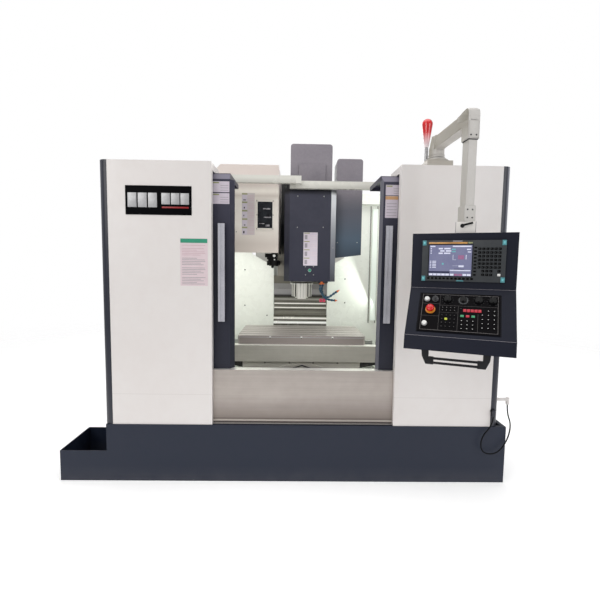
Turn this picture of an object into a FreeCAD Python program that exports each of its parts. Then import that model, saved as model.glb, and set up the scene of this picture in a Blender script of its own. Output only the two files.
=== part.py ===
import FreeCAD, Part
import math
import os

# Vertical machining centre: fixed column, moving saddle and table, head on the column.
# Millimetres, +Z up, +Y to the rear, +X to the operator's right.
# Origin: on the floor, at the centre of the four corner foundation bolts of the bed.

os.makedirs("parts", exist_ok=True)

Vec = FreeCAD.Vector
X_AXIS = Vec(1, 0, 0)
Y_AXIS = Vec(0, 1, 0)
Z_AXIS = Vec(0, 0, 1)

# ---- enclosure ----
front_to_bed_centre = 1225.0
body_half_width = 1226.0
corner_strip_width = 54.0
corner_radius = 46.0
opening_half_width = 562.0
cover_height = 1956.0
cover_roof_depth = 270.0
cover_return = 48.0
cover_top_return = 262.0
side_panel_depth = 1640.0
side_panel_rear_fold = 500.0
side_hatch_length = 620.0
side_hatch_height = 820.0
sheet = 3.0
seat = 0.3

# ---- coolant tank ----
tank_half_width = 1214.0
tank_height = 362.0
tank_left_reach = 1502.0
tank_right_reach = 1273.0
tank_depth = 440.0
tank_wall = 5.0
tank_lip = 25.0
tank_front_gap = 4.0
chip_box_height = 192.0
chip_box_depth = 365.0

# ---- bed ----
bed_front_gap = 460.0
bed_length = 1530.0
bed_half_width = 360.0
bed_underside = 70.0
bed_top = 470.0
deck_top = 560.0
deck_length = 400.0
bed_channel_half = 90.0
bed_channel_floor = 395.0
tunnel_roof = 515.0
bed_lug_reach = 140.0
bed_lug_size = 140.0
bed_lug_height = 60.0
bolt_spacing_x = 860.0
bolt_spacing_y = 1330.0
anchor_hole_radius = 9.0
foot_pad_radius = 60.0
foot_pad_height = 25.0
foot_screw_radius = 18.0
foot_nut_radius = 28.0
foot_nut_height = 24.0

# ---- linear guides and ball screws ----
rail_width = 34.0
rail_height = 34.0
rail_clearance = 0.5
y_rail_offset = 270.0
x_rail_offset = 190.0
z_rail_offset = 170.0
carriage_width = 90.0
carriage_length = 120.0
carriage_wall = 30.0
screw_radius = 16.0
screw_fit = 0.05
y_screw_height = 450.0
x_screw_height = 640.0
z_screw_behind_column_face = 40.0
bearing_thickness = 40.0
bearing_from_end = 20.0
motor_size = 110.0
motor_length = 160.0
motor_cap_length = 45.0

# ---- saddle and table ----
axis_from_front = 985.0
saddle_half_length = 650.0
saddle_depth = 580.0
saddle_underside = 535.0
saddle_top = 650.0
saddle_end_thickness = 60.0
y_carriage_offset = 220.0
x_carriage_offset = 180.0
x_channel_width = 64.0
x_channel_floor = 600.0
table_length = 1000.0
table_depth = 550.0
table_top = 800.0
table_thickness = 67.0
table_rib_height = 21.0
table_corner_cut = 12.0
slot_count = 5
slot_pitch = 100.0
slot_width = 18.0
slot_depth = 20.0
slot_foot_width = 30.0
slot_foot_depth = 14.0
guard_half_length = 700.0
guard_stand_off = 35.0
guard_foot = 605.0
apron_plate_half = 460.0
gable_half_width = 172.0
gable_height = 40.0

# ---- column, head and spindle ----
column_face_from_front = 1640.0
column_depth = 360.0
column_half_width = 290.0
column_base_half_width = 350.0
column_flare_height = 340.0
column_top = 2150.0
column_channel_half = 75.0
column_channel_depth = 85.0
head_underside = 1250.0
head_top = 1900.0
head_front = 830.0
head_left = -120.0
head_right = 180.0
head_slide_half = 215.0
head_slide_depth = 300.0
head_slide_top = 1720.0
head_cover_front = 720.0
head_cover_rear = 1190.0
head_cover_left = -146.0
head_cover_right = 255.0
head_cover_bevel = 42.0
head_cover_underside = 1228.0
head_cover_top = 1935.0
motor_cover_left = -103.0
motor_cover_right = 228.0
motor_cover_front = 860.0
motor_cover_depth = 340.0
motor_cover_top = 2307.0
motor_panel_top = 2150.0
duct_left = 265.0
duct_width = 206.0
duct_front = 850.0
duct_depth = 210.0
duct_underside = 1414.0
duct_bracket_lifts = [60.0, 320.0]
duct_bracket_height = 60.0
duct_slant = 27.0
duct_top = 2195.0
cartridge_length = 260.0
cartridge_radius = 70.0
nose_flange_radius = 82.0
nose_flange_bottom = 1092.0
nose_ring_radius = 55.0
nose_ring_bottom = 1080.0
spindle_radius = 35.0
spindle_face = 1076.0
spindle_top = 1700.0
bead_radius = 10.5
bead_pitch = 24.0
taper_gauge_radius = 22.225
taper_length = 65.0
taper_ratio = 7.0 / 24.0
drawbar_radius = 8.5

# ---- telescopic column covers ----
cover_plate_half = 258.0
cover_plate_thickness = 3.0
cover_plate_gap = 3.0
cover_running_gap = 0.2
cover_wiper_height = 10.0
cover_plates_from_front = 1565.0
cover_bottoms = [995.0, 940.0, 850.0]
cover_heights = [180.0, 180.0, 215.0]
head_apron_bottom = 1049.0
base_plate_top = 965.0

# ---- inner guards ----
guard_plane = 1560.0
inner_wall_half = 950.0
guard_slot_half = 262.0
guard_shoulder_low = 1335.0
guard_shoulder_high = 1455.0
guard_shoulder_half = 475.0
guard_top = 1940.0
guard_rail_height = 95.0
guard_rail_depth = 60.0
inner_wall_front = 120.0
inner_wall_low_top = 1815.0
hood_zone_depth = 620.0
floor_at_wall = 520.0
floor_at_bed = 430.0
trough_low = 378.0

# ---- doors ----
door_front = 60.0
door_thickness = 35.0
door_width = 626.0
door_foot = 702.3
door_top = 1905.0
left_door_edge = -436.0
right_door_edge = 458.0
left_door_bevel = 25.0
right_door_bevel = 15.0
door_top_bevel = 40.0
door_window_width = 360.0
door_window_height = 800.0
door_window_foot = 900.0
door_window_inset = 152.0
glass_thickness = 6.0
hood_depth = 450.0
hood_flange = 28.0
handle_width = 40.0
handle_depth = 14.0
handle_stand_off = 26.0
handle_foot = 1002.0
handle_length = 598.0
handle_from_edge = 74.0

# ---- apron and header beams ----
apron_set_back = 30.0
apron_rail_height = 12.0
apron_lip = 16.0
beam_height = 55.0
beam_end_drop = 60.0
beam_depth = 40.0
left_beam_front = 560.0
left_beam_foot = 1944.0
left_beam_end = -21.0
right_beam_foot = 1916.0
right_beam_end = -105.0

# ---- tool changer ----
magazine_left = -646.0
magazine_right = -188.0
magazine_front = 650.0
magazine_depth = 632.0
magazine_foot = 1443.0
magazine_top = 2092.0
magazine_chamfer = 25.0
window_left = -342.0
window_width = 106.0
window_foot = 1629.0
window_height = 190.0
window_frame = 12.0
pocket_count = 20
pocket_circle_radius = 255.0
pocket_radius = 33.0
pocket_length = 120.0
disc_plate_thickness = 20.0
disc_side_gap = 40.0
disc_shaft_radius = 24.0
arm_axis_x = -235.0
arm_shaft_radius = 22.0
arm_thickness = 36.0
arm_top = 1385.0
arm_jaw_radius = 44.0
arm_stroke = 115.0
cam_box_foot = 1462.0
cam_box_top = 1880.0
cam_box_width = 112.0
cam_box_rear = 1465.0
holder_flange_radius = 31.5
holder_nose_radius = 20.0
holder_nose_length = 34.0

# ---- electrical cabinet ----
cabinet_half_width = 480.0
cabinet_depth = 330.0
cabinet_foot = 620.0
cabinet_top = 2020.0
cabinet_wall = 4.0
cabinet_door_thickness = 20.0
cabinet_door_gap = 1.6
hinge_pin_radius = 5.0
hinge_knuckle_radius = 9.0
switch_height = 1500.0
switch_radius = 30.0

# ---- operator's panel and its arm ----
arm_pivot_x = 812.0
arm_pivot_from_front = 140.0
arm_yaw = 2.2
arm_reach = 456.0
arm_base_half = 78.0
arm_base_top = 2000.0
arm_flange_radius = 74.0
arm_flange_height = 12.0
arm_neck_radius = 47.0
arm_beam_foot = 2078.0
arm_beam_height = 74.0
arm_beam_width = 60.0
arm_hub_top = 2160.0
arm_hub_top_radius = 31.0
arm_beam_round = 9.0
elbow_depth = 74.0
elbow_foot = 2006.0
elbow_round = 25.0
tube_width = 45.0
tube_depth = 66.0
coupling_width = 58.0
coupling_depth = 78.0
coupling_top = 1672.0
swivel_plane = 1590.0
swivel_half_width = 50.0
swivel_half_depth = 45.0
swivel_pin_radius = 20.0
swivel_pin_depth = 25.0
panel_yaw = -23.6
panel_width = 507.0
panel_axis_offset = 7.0
panel_face_ahead = 62.0
panel_top = 1531.0
screen_face_height = 286.0
console_drop = 230.0
console_reach = 181.0
skirt_drop = 69.0
skirt_reach = 14.0
panel_frame_depth = 45.0
panel_back_depth = 95.0
panel_back_inset = 40.0
screen_width = 400.0
screen_height = 200.0
key_field_width = 136.0
screen_thickness = 12.0
key_panel_width = 380.0
key_panel_length = 216.0
key_panel_from_fold = 38.0
key_panel_thickness = 4.0
grip_rod_radius = 6.0
grip_length = 250.0
grip_drop = 66.0
stop_position = (-141.0, 134.0)
stop_radius = 25.5
stop_travel = 5.0
start_position = (-161.0, 77.0)
feed_position = (-163.0, 223.0)
push_radius = 11.0
push_travel = 3.0
lock_position = (-121.0, 73.0)
lock_radius = 14.0
knob_positions = [(-61.0, 75.0), (14.0, 75.0), (86.0, 75.0), (150.0, 75.0)]
knob_radius = 17.0
knob_height = 20.0

# ---- lamp, light and loose cable ----
lamp_x = 779.0
lamp_from_front = 240.0
lamp_foot = 2123.0
lamp_height = 178.0
lamp_radius = 34.0
lamp_pole_radius = 11.0
lamp_foot_radius = 20.0
light_left = 690.0
light_width = 48.0
light_depth = 32.0
light_foot = 820.0
light_height = 1080.0
cable_radius = 4.0
gland_radius = 11.0
gland_length = 14.0
outlet_drop = 5.0
outlet_inside = 6.0
outlet_stand_off = 16.0

front = -front_to_bed_centre
axis_y = front + axis_from_front


def box(x0, x1, y0, y1, z0, z1):
    return Part.makeBox(x1 - x0, y1 - y0, z1 - z0, Vec(x0, y0, z0))


def rod(x, y, z, radius, length, direction=Z_AXIS):
    return Part.makeCylinder(radius, length, Vec(x, y, z), direction)


def prism(points, path):
    corners = points + [points[0]]
    return Part.Face(Part.makePolygon(corners)).extrude(path)


def side_profile(points, x0, x1):
    return prism([Vec(x0, y, z) for y, z in points], Vec(x1 - x0, 0, 0))


def front_profile(points, y0, y1):
    return prism([Vec(x, y0, z) for x, z in points], Vec(0, y1 - y0, 0))


def plan_profile(points, z0, z1):
    return prism([Vec(x, y, z0) for x, y in points], Vec(0, 0, z1 - z0))


def join(first, *others):
    return first.multiFuse(list(others)).removeSplitter()


def carve(body, *tools):
    for tool in tools:
        body = body.cut(tool)
    return body


def group(*solids):
    return Part.makeCompound(list(solids))


def turned(shape, x, y, degrees):
    copy = shape.copy()
    copy.rotate(Vec(x, y, 0), Z_AXIS, degrees)
    return copy


def mirrored(shape):
    return shape.mirror(Vec(0, 0, 0), X_AXIS)


# ---------------- base: tank, bed, feet ----------------

def make_coolant_tank():
    y0 = front - tank_front_gap
    wall = tank_wall
    body = box(-tank_half_width, tank_right_reach, y0, front + tank_depth, 0, tank_height)
    room = box(-tank_half_width + wall, tank_right_reach - wall, y0 + wall,
               front + tank_depth - wall, wall, tank_height - wall)
    mouth = box(-tank_half_width + tank_lip, tank_right_reach - tank_lip, y0 + tank_lip,
                front + tank_depth - tank_lip, tank_height - 2 * wall, tank_height + wall)
    chip_box = box(-tank_left_reach, -tank_half_width, y0, front + chip_box_depth, 0, chip_box_height)
    chip_room = box(-tank_left_reach + wall, -tank_half_width, y0 + wall,
                    front + chip_box_depth - wall, wall, chip_box_height + wall)
    passage = box(-tank_half_width - wall, -tank_half_width + 2 * wall, y0 + 3 * tank_lip,
                  front + chip_box_depth - 3 * tank_lip, 2 * tank_lip, chip_box_height - 2 * tank_lip)
    return carve(join(carve(body, room, mouth), carve(chip_box, chip_room)), passage)


def foot_places():
    for side in (-1, 1):
        for row in (-1, 0, 1):
            yield side * bolt_spacing_x / 2, row * bolt_spacing_y / 2


def make_levelling_feet():
    feet = []
    lug_top = bed_underside + bed_lug_height
    for x, y in foot_places():
        pad = rod(x, y, 0, foot_pad_radius, foot_pad_height)
        screw = rod(x, y, foot_pad_height, foot_screw_radius, lug_top + foot_nut_height + 16 - foot_pad_height)
        nut = plan_profile([(x + foot_nut_radius * math.cos(math.radians(a)),
                             y + foot_nut_radius * math.sin(math.radians(a))) for a in range(0, 360, 60)],
                           lug_top, lug_top + foot_nut_height)
        bore = rod(x, y, -1, anchor_hole_radius, lug_top + 100)
        feet.append(carve(join(pad, screw, nut), bore))
    return group(*feet)


def make_bed_casting():
    y0 = front + bed_front_gap
    y1 = y0 + bed_length
    body = box(-bed_half_width, bed_half_width, y0, y1, bed_underside, bed_top)
    deck = box(-bed_half_width, bed_half_width, y1 - deck_length, y1, bed_top, deck_top)
    lugs = []
    lug_holes = []
    half_lug = bed_lug_size / 2
    for x, y in foot_places():
        outer = math.copysign(bed_half_width + bed_lug_reach, x)
        inner = math.copysign(bed_half_width, x)
        lugs.append(box(min(inner, outer), max(inner, outer), y - half_lug, y + half_lug,
                        bed_underside, bed_underside + bed_lug_height))
        lug_holes.append(rod(x, y, bed_underside - 1, foot_screw_radius + seat, bed_lug_height + 2))
    channel = box(-bed_channel_half, bed_channel_half, y0 - 1, y1 + 1, bed_channel_floor, bed_top + 1)
    body = carve(join(body, deck, *lugs), *lug_holes)
    body = carve(body, channel)
    tunnel = box(-bed_channel_half, bed_channel_half, y1 - deck_length - 1, y1 + 1,
                 bed_channel_floor, tunnel_roof)
    body = carve(body, tunnel)
    rib_gap = 60.0
    pocket_depth = 45.0
    pocket_length = (bed_length - 6 * rib_gap) / 5
    for side in (-1, 1):
        for step in range(5):
            y = y0 + rib_gap + step * (pocket_length + rib_gap)
            inner = side * (bed_half_width - pocket_depth)
            outer = side * (bed_half_width + 1)
            pocket = box(min(inner, outer), max(inner, outer), y, y + pocket_length,
                         bed_underside + bed_lug_height + 20, bed_top - 90)
            body = carve(body, pocket)
    rails = []
    for side in (-1, 1):
        x = side * y_rail_offset
        rails.append(box(x - rail_width / 2, x + rail_width / 2, y0 + 10, y1 - deck_length - 10,
                         bed_top, bed_top + rail_height))
    bearings = []
    for y in y_bearing_places():
        bearings.append(carve(box(-bed_channel_half, bed_channel_half, y, y + bearing_thickness,
                                  bed_channel_floor, bed_top + 20),
                              rod(0, y - 1, y_screw_height, screw_radius + screw_fit,
                                  bearing_thickness + 2, Y_AXIS)))
    return join(body, *rails, *bearings)


def y_bearing_places():
    y0 = front + bed_front_gap
    return [y0 + bearing_from_end, y0 + bed_length - deck_length - bearing_thickness - bearing_from_end]


def make_y_ball_screw():
    first, last = y_bearing_places()
    return rod(0, first - 12, y_screw_height, screw_radius, last - first + bearing_thickness + 20, Y_AXIS)


# ---------------- saddle and table ----------------

def carriages(x_places, y_places, top, along_x):
    # guide carriages: blocks that straddle a rail with running clearance
    blocks = []
    half = rail_width / 2 + rail_clearance
    for x in x_places:
        for y in y_places:
            dx, dy = (carriage_length / 2, carriage_width / 2) if along_x else (carriage_width / 2,
                                                                              carriage_length / 2)
            foot = top - carriage_wall - rail_height + 4
            block = box(x - dx, x + dx, y - dy, y + dy, foot, top)
            ceiling = top - carriage_wall + rail_clearance
            if along_x:
                slot = box(x - dx - 1, x + dx + 1, y - half, y + half, foot - 1, ceiling)
            else:
                slot = box(x - half, x + half, y - dy - 1, y + dy + 1, foot - 1, ceiling)
            blocks.append(carve(block, slot))
    return blocks


def make_saddle_casting():
    flat = saddle_half_length - 270
    end = saddle_top - saddle_end_thickness
    y0 = axis_y - saddle_depth / 2
    y1 = axis_y + saddle_depth / 2
    body = front_profile([(-saddle_half_length, saddle_top), (-saddle_half_length, end),
                          (-flat, saddle_underside), (flat, saddle_underside),
                          (saddle_half_length, end), (saddle_half_length, saddle_top)], y0, y1)
    half_channel = x_channel_width / 2
    channel = box(-saddle_half_length - 1, saddle_half_length + 1, axis_y - half_channel,
                  axis_y + half_channel, x_channel_floor, saddle_top + 1)
    body = carve(body, channel)
    rails = []
    for side in (-1, 1):
        y = axis_y + side * x_rail_offset
        rails.append(box(-saddle_half_length + 5, saddle_half_length - 5, y - rail_width / 2,
                         y + rail_width / 2, saddle_top, saddle_top + rail_height))
    blocks = carriages([-y_rail_offset, y_rail_offset], [axis_y - y_carriage_offset, axis_y + y_carriage_offset],
                       saddle_underside, False)
    nut = carve(box(-55, 55, axis_y - 45, axis_y + 45, y_screw_height - 40, saddle_underside),
                rod(0, axis_y - 50, y_screw_height, screw_radius + screw_fit, 100, Y_AXIS))
    bearings = []
    for x in (-saddle_half_length, saddle_half_length - bearing_thickness):
        bearings.append(carve(box(x, x + bearing_thickness, axis_y - half_channel, axis_y + half_channel,
                                  x_channel_floor, x_screw_height + 34),
                              rod(x - 1, axis_y, x_screw_height, screw_radius + screw_fit,
                                  bearing_thickness + 2, X_AXIS)))
    return join(body, nut, *rails, *blocks, *bearings)


def make_x_ball_screw():
    return rod(-saddle_half_length - 8, axis_y, x_screw_height, screw_radius, 2 * saddle_half_length + 12, X_AXIS)


def make_saddle_guard():
    face = axis_y - saddle_depth / 2
    y0 = face - guard_stand_off
    table_front = axis_y - table_depth / 2
    top = table_top - table_thickness - 2
    t = sheet
    apron = side_profile([(y0, guard_foot), (face, guard_foot), (face, guard_foot + t), (y0 + t, guard_foot + t),
                          (y0 + t, top - t), (table_front + 30, top - t), (table_front + 30, top), (y0, top)],
                         -guard_half_length, guard_half_length)
    foot = bed_top + rail_height + 4
    lower = box(-apron_plate_half, apron_plate_half, face - t, face, foot, guard_foot)
    gable = front_profile([(-gable_half_width, foot + 50), (gable_half_width, foot + 50),
                           (0, foot + 50 + gable_height)], face - 3 * t, face - t)
    return join(apron, lower, gable)


def make_work_table():
    half = table_length / 2
    y0 = axis_y - table_depth / 2
    y1 = axis_y + table_depth / 2
    c = table_corner_cut
    under = table_top - table_thickness
    plate = plan_profile([(-half + c, y0), (half - c, y0), (half, y0 + c), (half, y1 - c),
                          (half - c, y1), (-half + c, y1), (-half, y1 - c), (-half, y0 + c)], under, table_top)
    rib = box(-half + 70, half - 70, y0 + 60, y1 - 60, under - table_rib_height, under)
    blocks = []
    for block in carriages([-x_carriage_offset, x_carriage_offset],
                           [axis_y - x_rail_offset, axis_y + x_rail_offset],
                           saddle_top + rail_height + carriage_wall, True):
        blocks.append(block)
    nut = carve(box(-50, 50, axis_y - 26, axis_y + 26, x_screw_height - 32, under),
                rod(-60, axis_y, x_screw_height, screw_radius + screw_fit, 120, X_AXIS))
    table = join(plate, rib, nut, *blocks)
    for step in range(slot_count):
        y = axis_y + (step - (slot_count - 1) / 2) * slot_pitch
        throat = box(-half - 1, half + 1, y - slot_width / 2, y + slot_width / 2,
                     table_top - slot_depth, table_top + 1)
        foot = box(-half - 1, half + 1, y - slot_foot_width / 2, y + slot_foot_width / 2,
                   table_top - slot_depth - slot_foot_depth, table_top - slot_depth)
        table = carve(table, throat, foot)
    return table


# ---------------- servo motors ----------------

def servo_motor():
    # flange face at the origin, body towards +Z
    half = motor_size / 2
    body = box(-half, half, -half, half, 0, motor_length)
    cap = box(-half + 10, half - 10, -half + 10, half - 10, motor_length, motor_length + motor_cap_length)
    return join(body, cap)


def make_axis_servomotors():
    screw_y = front + column_face_from_front + z_screw_behind_column_face
    upright = servo_motor()
    upright.translate(Vec(0, screw_y, column_top))
    lying = servo_motor()
    lying.rotate(Vec(0, 0, 0), X_AXIS, -90)
    lying.translate(Vec(0, y_bearing_places()[1] + bearing_thickness + 10, y_screw_height))
    return group(upright, lying)


def make_x_servomotor():
    motor = servo_motor()
    motor.rotate(Vec(0, 0, 0), Y_AXIS, 90)
    motor.translate(Vec(saddle_half_length + 5, axis_y, x_screw_height))
    hub = box(saddle_half_length, saddle_half_length + 5, axis_y - motor_size / 2, axis_y + motor_size / 2,
              x_screw_height - motor_size / 2, x_screw_height + motor_size / 2)
    bore = rod(saddle_half_length - 1, axis_y, x_screw_height, screw_radius + 4, 6, X_AXIS)
    return join(motor, carve(hub, bore))


# ---------------- column ----------------

def make_column_casting():
    y0 = front + column_face_from_front
    y1 = y0 + column_depth
    knee = deck_top + column_flare_height
    body = front_profile([(-column_base_half_width, deck_top), (column_base_half_width, deck_top),
                          (column_half_width, knee), (column_half_width, column_top),
                          (-column_half_width, column_top), (-column_half_width, knee)], y0, y1)
    roof = column_top - bearing_thickness
    sill = deck_top + 420
    channel = box(-column_channel_half, column_channel_half, y0 - 1, y0 + column_channel_depth, deck_top + 120, roof)
    screw_y = y0 + z_screw_behind_column_face
    ledge = box(-column_channel_half, column_channel_half, y0, y0 + column_channel_depth,
                sill, sill + bearing_thickness)
    body = join(carve(body, channel), ledge)
    body = carve(body, rod(0, screw_y, sill - 1, screw_radius + screw_fit, bearing_thickness + 2),
                 rod(0, screw_y, roof - 1, screw_radius + screw_fit, bearing_thickness + 2))
    window_height = 330.0
    for step in range(4):
        z = deck_top + 80 + step * (window_height + 50)
        width = 200.0 if step else 230.0
        body = carve(body, box(-width, width, y1 - 120, y1 + 1, z, z + window_height))
    rails = []
    for side in (-1, 1):
        x = side * z_rail_offset
        rails.append(box(x - rail_width / 2, x + rail_width / 2, y0 - rail_height, y0, sill + 20, column_top - 10))
    return join(body, *rails)


def make_z_ball_screw():
    y = front + column_face_from_front + z_screw_behind_column_face
    foot = deck_top + 420 - 8
    return rod(0, y, foot, screw_radius, column_top - foot - 2)


def cover_plate_y(layer):
    return front + cover_plates_from_front + layer * (cover_plate_thickness + cover_plate_gap)


def cover_wiper(layer, foot):
    # strip at a cover's lower edge that reaches back to the plate behind it, with a running gap
    y = cover_plate_y(layer) + cover_plate_thickness
    return box(-cover_plate_half, cover_plate_half, y, y + cover_plate_gap - cover_running_gap, foot,
               foot + cover_wiper_height)


def make_column_cover(step):
    y = cover_plate_y(step + 1)
    foot = cover_bottoms[step]
    plate = box(-cover_plate_half, cover_plate_half, y, y + cover_plate_thickness, foot, foot + cover_heights[step])
    return join(plate, cover_wiper(step + 1, foot))


def head_apron():
    # stainless cover that hangs from the head's underside and starts the telescopic stack
    y = cover_plate_y(0)
    t = cover_plate_thickness
    bend = head_apron_bottom + 70
    flare = y - 90
    sheet_bend = side_profile([(y, head_apron_bottom), (y + t, head_apron_bottom), (y + t, bend),
                               (flare + t, head_underside - 6), (flare + t, head_underside), (flare, head_underside),
                               (flare, head_underside - 8), (y, bend - 2)], -cover_plate_half, cover_plate_half)
    return join(sheet_bend, cover_wiper(0, head_apron_bottom))


# ---------------- head ----------------

def make_head_casting():
    y0 = front + head_front
    slide_y = front + column_face_from_front - rail_height - 10
    column_y = front + column_face_from_front
    body = side_profile([(y0, head_underside), (slide_y, head_underside), (slide_y, head_slide_top),
                         (slide_y - 170, head_top), (y0, head_top)], head_left, head_right)
    slide = box(-head_slide_half, head_slide_half, slide_y - head_slide_depth, slide_y,
                head_underside, head_slide_top)
    flange_y = front + head_cover_rear - 40
    flange = box(head_cover_left + sheet + seat, head_cover_right - sheet - seat, flange_y, flange_y + 20,
                 head_underside + 20, head_top)
    seat_half = 10.0
    top_pad = box(motor_cover_left + sheet + seat, motor_cover_right - sheet - seat, y0 + 60, flange_y + 20,
                  head_top, head_cover_top + 2 * seat_half)
    body = join(body, slide, flange, top_pad)
    blocks = []
    for x in (-z_rail_offset, z_rail_offset):
        for z in (head_underside + 10, head_underside + 310):
            block = box(x - carriage_width / 2, x + carriage_width / 2, slide_y, column_y - 4,
                        z, z + carriage_length)
            slot = box(x - rail_width / 2 - rail_clearance, x + rail_width / 2 + rail_clearance,
                       column_y - rail_height - rail_clearance, column_y, z - 1, z + carriage_length + 1)
            blocks.append(carve(block, slot))
    screw_y = column_y + z_screw_behind_column_face
    nut = carve(box(-55, 55, slide_y, screw_y + 32, head_underside + 200, head_underside + 280),
                rod(0, screw_y, head_underside + 199, screw_radius + screw_fit, 82))
    body = join(body, nut, *blocks, head_apron())
    bore = rod(0, axis_y, head_underside - 1, cartridge_radius, head_top)
    return carve(body, bore)


def make_head_cover():
    y0 = front + head_cover_front
    y1 = front + head_cover_rear
    b = head_cover_bevel
    t = sheet

    def outline(inset, rear):
        left = head_cover_left + inset
        right = head_cover_right - inset
        cut = inset * 0.4
        return [(left, rear), (left, y0 + b + cut), (left + b - cut + inset * 0.6, y0 + inset),
                (right - b + cut - inset * 0.6, y0 + inset), (right, y0 + b + cut), (right, rear)]

    shell = plan_profile(outline(0, y1), head_cover_underside, head_cover_top)
    room = plan_profile(outline(t, y1 + 1), head_cover_underside + t, head_cover_top - t)
    nose_hole = rod(0, axis_y, head_cover_underside - 1, nose_flange_radius + 4, t + 2)
    motor_hole = box(motor_cover_left, motor_cover_right, front + motor_cover_front, y1 + 1,
                     head_cover_top - t - 1, head_cover_top + 1)
    return carve(shell, room, nose_hole, motor_hole)


def top_rounded(x0, x1, y0, y1, z0, z1, radius):
    # upright box whose two top corners, seen from the front, are rounded
    r = radius
    left_arc = Part.Arc(Vec(x0, y0, z1 - r), Vec(x0 + r * (1 - math.sqrt(0.5)), y0, z1 - r * (1 - math.sqrt(0.5))),
                        Vec(x0 + r, y0, z1)).toShape()
    right_arc = Part.Arc(Vec(x1 - r, y0, z1), Vec(x1 - r * (1 - math.sqrt(0.5)), y0, z1 - r * (1 - math.sqrt(0.5))),
                         Vec(x1, y0, z1 - r)).toShape()
    edges = [Part.makeLine(Vec(x0, y0, z0), Vec(x0, y0, z1 - r)), left_arc,
             Part.makeLine(Vec(x0 + r, y0, z1), Vec(x1 - r, y0, z1)), right_arc,
             Part.makeLine(Vec(x1, y0, z1 - r), Vec(x1, y0, z0)), Part.makeLine(Vec(x1, y0, z0), Vec(x0, y0, z0))]
    return Part.Face(Part.Wire(edges)).extrude(Vec(0, y1 - y0, 0))


def make_motor_cover():
    y0 = front + motor_cover_front
    y1 = y0 + motor_cover_depth
    t = sheet
    shell = top_rounded(motor_cover_left, motor_cover_right, y0, y1, head_cover_top + seat, motor_cover_top, 22)
    room = box(motor_cover_left + t, motor_cover_right - t, y0 + t, y1 - t, head_cover_top, motor_cover_top - 8 * t)
    panel = box(motor_cover_left + 65, motor_cover_right - 53, y0 - 10, y0, head_cover_top + seat, motor_panel_top)
    return join(carve(shell, room), panel)


def make_duct_box():
    y0 = front + duct_front
    y1 = y0 + duct_depth
    x1 = duct_left + duct_width
    body = top_rounded(duct_left, x1, y0, y1, duct_underside, duct_top, 22)
    slant = front_profile([(duct_left - 1, duct_underside - 1), (x1 + 1, duct_underside - 1),
                           (x1 + 1, duct_underside + duct_slant), (duct_left - 1, duct_underside)], y0 - 1, y1 + 1)
    brackets = []
    for lift in duct_bracket_lifts:
        z = duct_underside + lift
        brackets.append(box(head_cover_right + seat, duct_left, y0 + 40, y1 - 40, z, z + duct_bracket_height))
    return join(carve(body, slant), *brackets)


def make_spindle_cartridge():
    core = rod(0, axis_y, head_underside, cartridge_radius - 0.1, cartridge_length)
    flange = rod(0, axis_y, nose_flange_bottom, nose_flange_radius, head_underside - nose_flange_bottom)
    ring = rod(0, axis_y, nose_ring_bottom, nose_ring_radius, nose_flange_bottom - nose_ring_bottom)
    body = join(core, flange, ring)
    scallop_radius = 15.0
    for step in range(8):
        angle = math.radians(22.5 + 45 * step)
        reach = nose_flange_radius + scallop_radius * 0.55
        groove = rod(reach * math.cos(angle), axis_y + reach * math.sin(angle), nose_flange_bottom - 1,
                     scallop_radius, 110)
        body = carve(body, groove)
    return carve(body, rod(0, axis_y, nose_ring_bottom - 1, spindle_radius + screw_fit, 500))


def make_spindle():
    shaft = rod(0, axis_y, spindle_face, spindle_radius, spindle_top - spindle_face)
    small = taper_gauge_radius - taper_length * taper_ratio / 2
    taper = Part.makeCone(taper_gauge_radius, small, taper_length, Vec(0, axis_y, spindle_face))
    drawbar = rod(0, axis_y, spindle_face, drawbar_radius, taper_length + 90)
    keys = []
    for side in (-1, 1):
        inner = side * (taper_gauge_radius + 2)
        outer = side * (spindle_radius - 1)
        keys.append(box(min(inner, outer), max(inner, outer), axis_y - 8, axis_y + 8, spindle_face - 6,
                        spindle_face + 4))
    return join(carve(shaft, taper, drawbar), *keys)


def make_coolant_nozzles():
    y = axis_y - 45
    drop = head_cover_underside
    block = box(130, 215, y - 16, y + 16, drop - 20, drop)
    lines = [[(152, drop - 20), (153, 1142), (189, 1091), (230, 1091), (302, 1134)],
             [(180, drop - 20), (172, 1148), (196, 1075), (236, 1066), (286, 1061)]]
    solids = [block]
    for number, path in enumerate(lines):
        offset = (number * 2 - 1) * 13
        for first, last in zip(path[:-1], path[1:]):
            start = Vec(first[0], y + offset, first[1])
            run = Vec(last[0], y + offset, last[1]).sub(start)
            pieces = max(1, round(run.Length / bead_pitch))
            for piece in range(pieces):
                base = start + run * (piece / pieces)
                solids.append(hose_bead(base, run, run.Length / pieces + 2))
    return join(*solids)


def hose_bead(base, direction, length):
    # one flaring, eight-sided link of a jointed coolant hose
    rings = []
    for radius, along in ((bead_radius * 0.6, 0), (bead_radius, length)):
        points = [Vec(radius * math.cos(math.radians(45 * k)), radius * math.sin(math.radians(45 * k)), along)
                  for k in range(9)]
        rings.append(Part.makePolygon(points))
    bead = Part.makeLoft(rings, True, True)
    bead.Placement = FreeCAD.Placement(base, FreeCAD.Rotation(Z_AXIS, direction))
    return bead


# ---------------- enclosure ----------------

def make_right_cover_shell():
    t = sheet
    x0 = opening_half_width
    x1 = body_half_width - corner_strip_width
    z0 = tank_height
    face = box(x0, x1, front, front + t, z0, cover_height)
    inner = box(x0, x0 + t, front, front + cover_return, z0, cover_height)
    inner_top = box(x0, x0 + t, front, front + cover_top_return, door_top + 8, cover_height)
    outer = box(x1 - t, x1, front, front + cover_return - 8, z0, cover_height)
    roof = box(x0, x1, front, front + cover_roof_depth, cover_height - t, cover_height)
    drop = box(x0, x1, front + cover_roof_depth - t, front + cover_roof_depth, cover_height - 30, cover_height)
    return join(face, inner, inner_top, outer, roof, drop)


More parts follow.
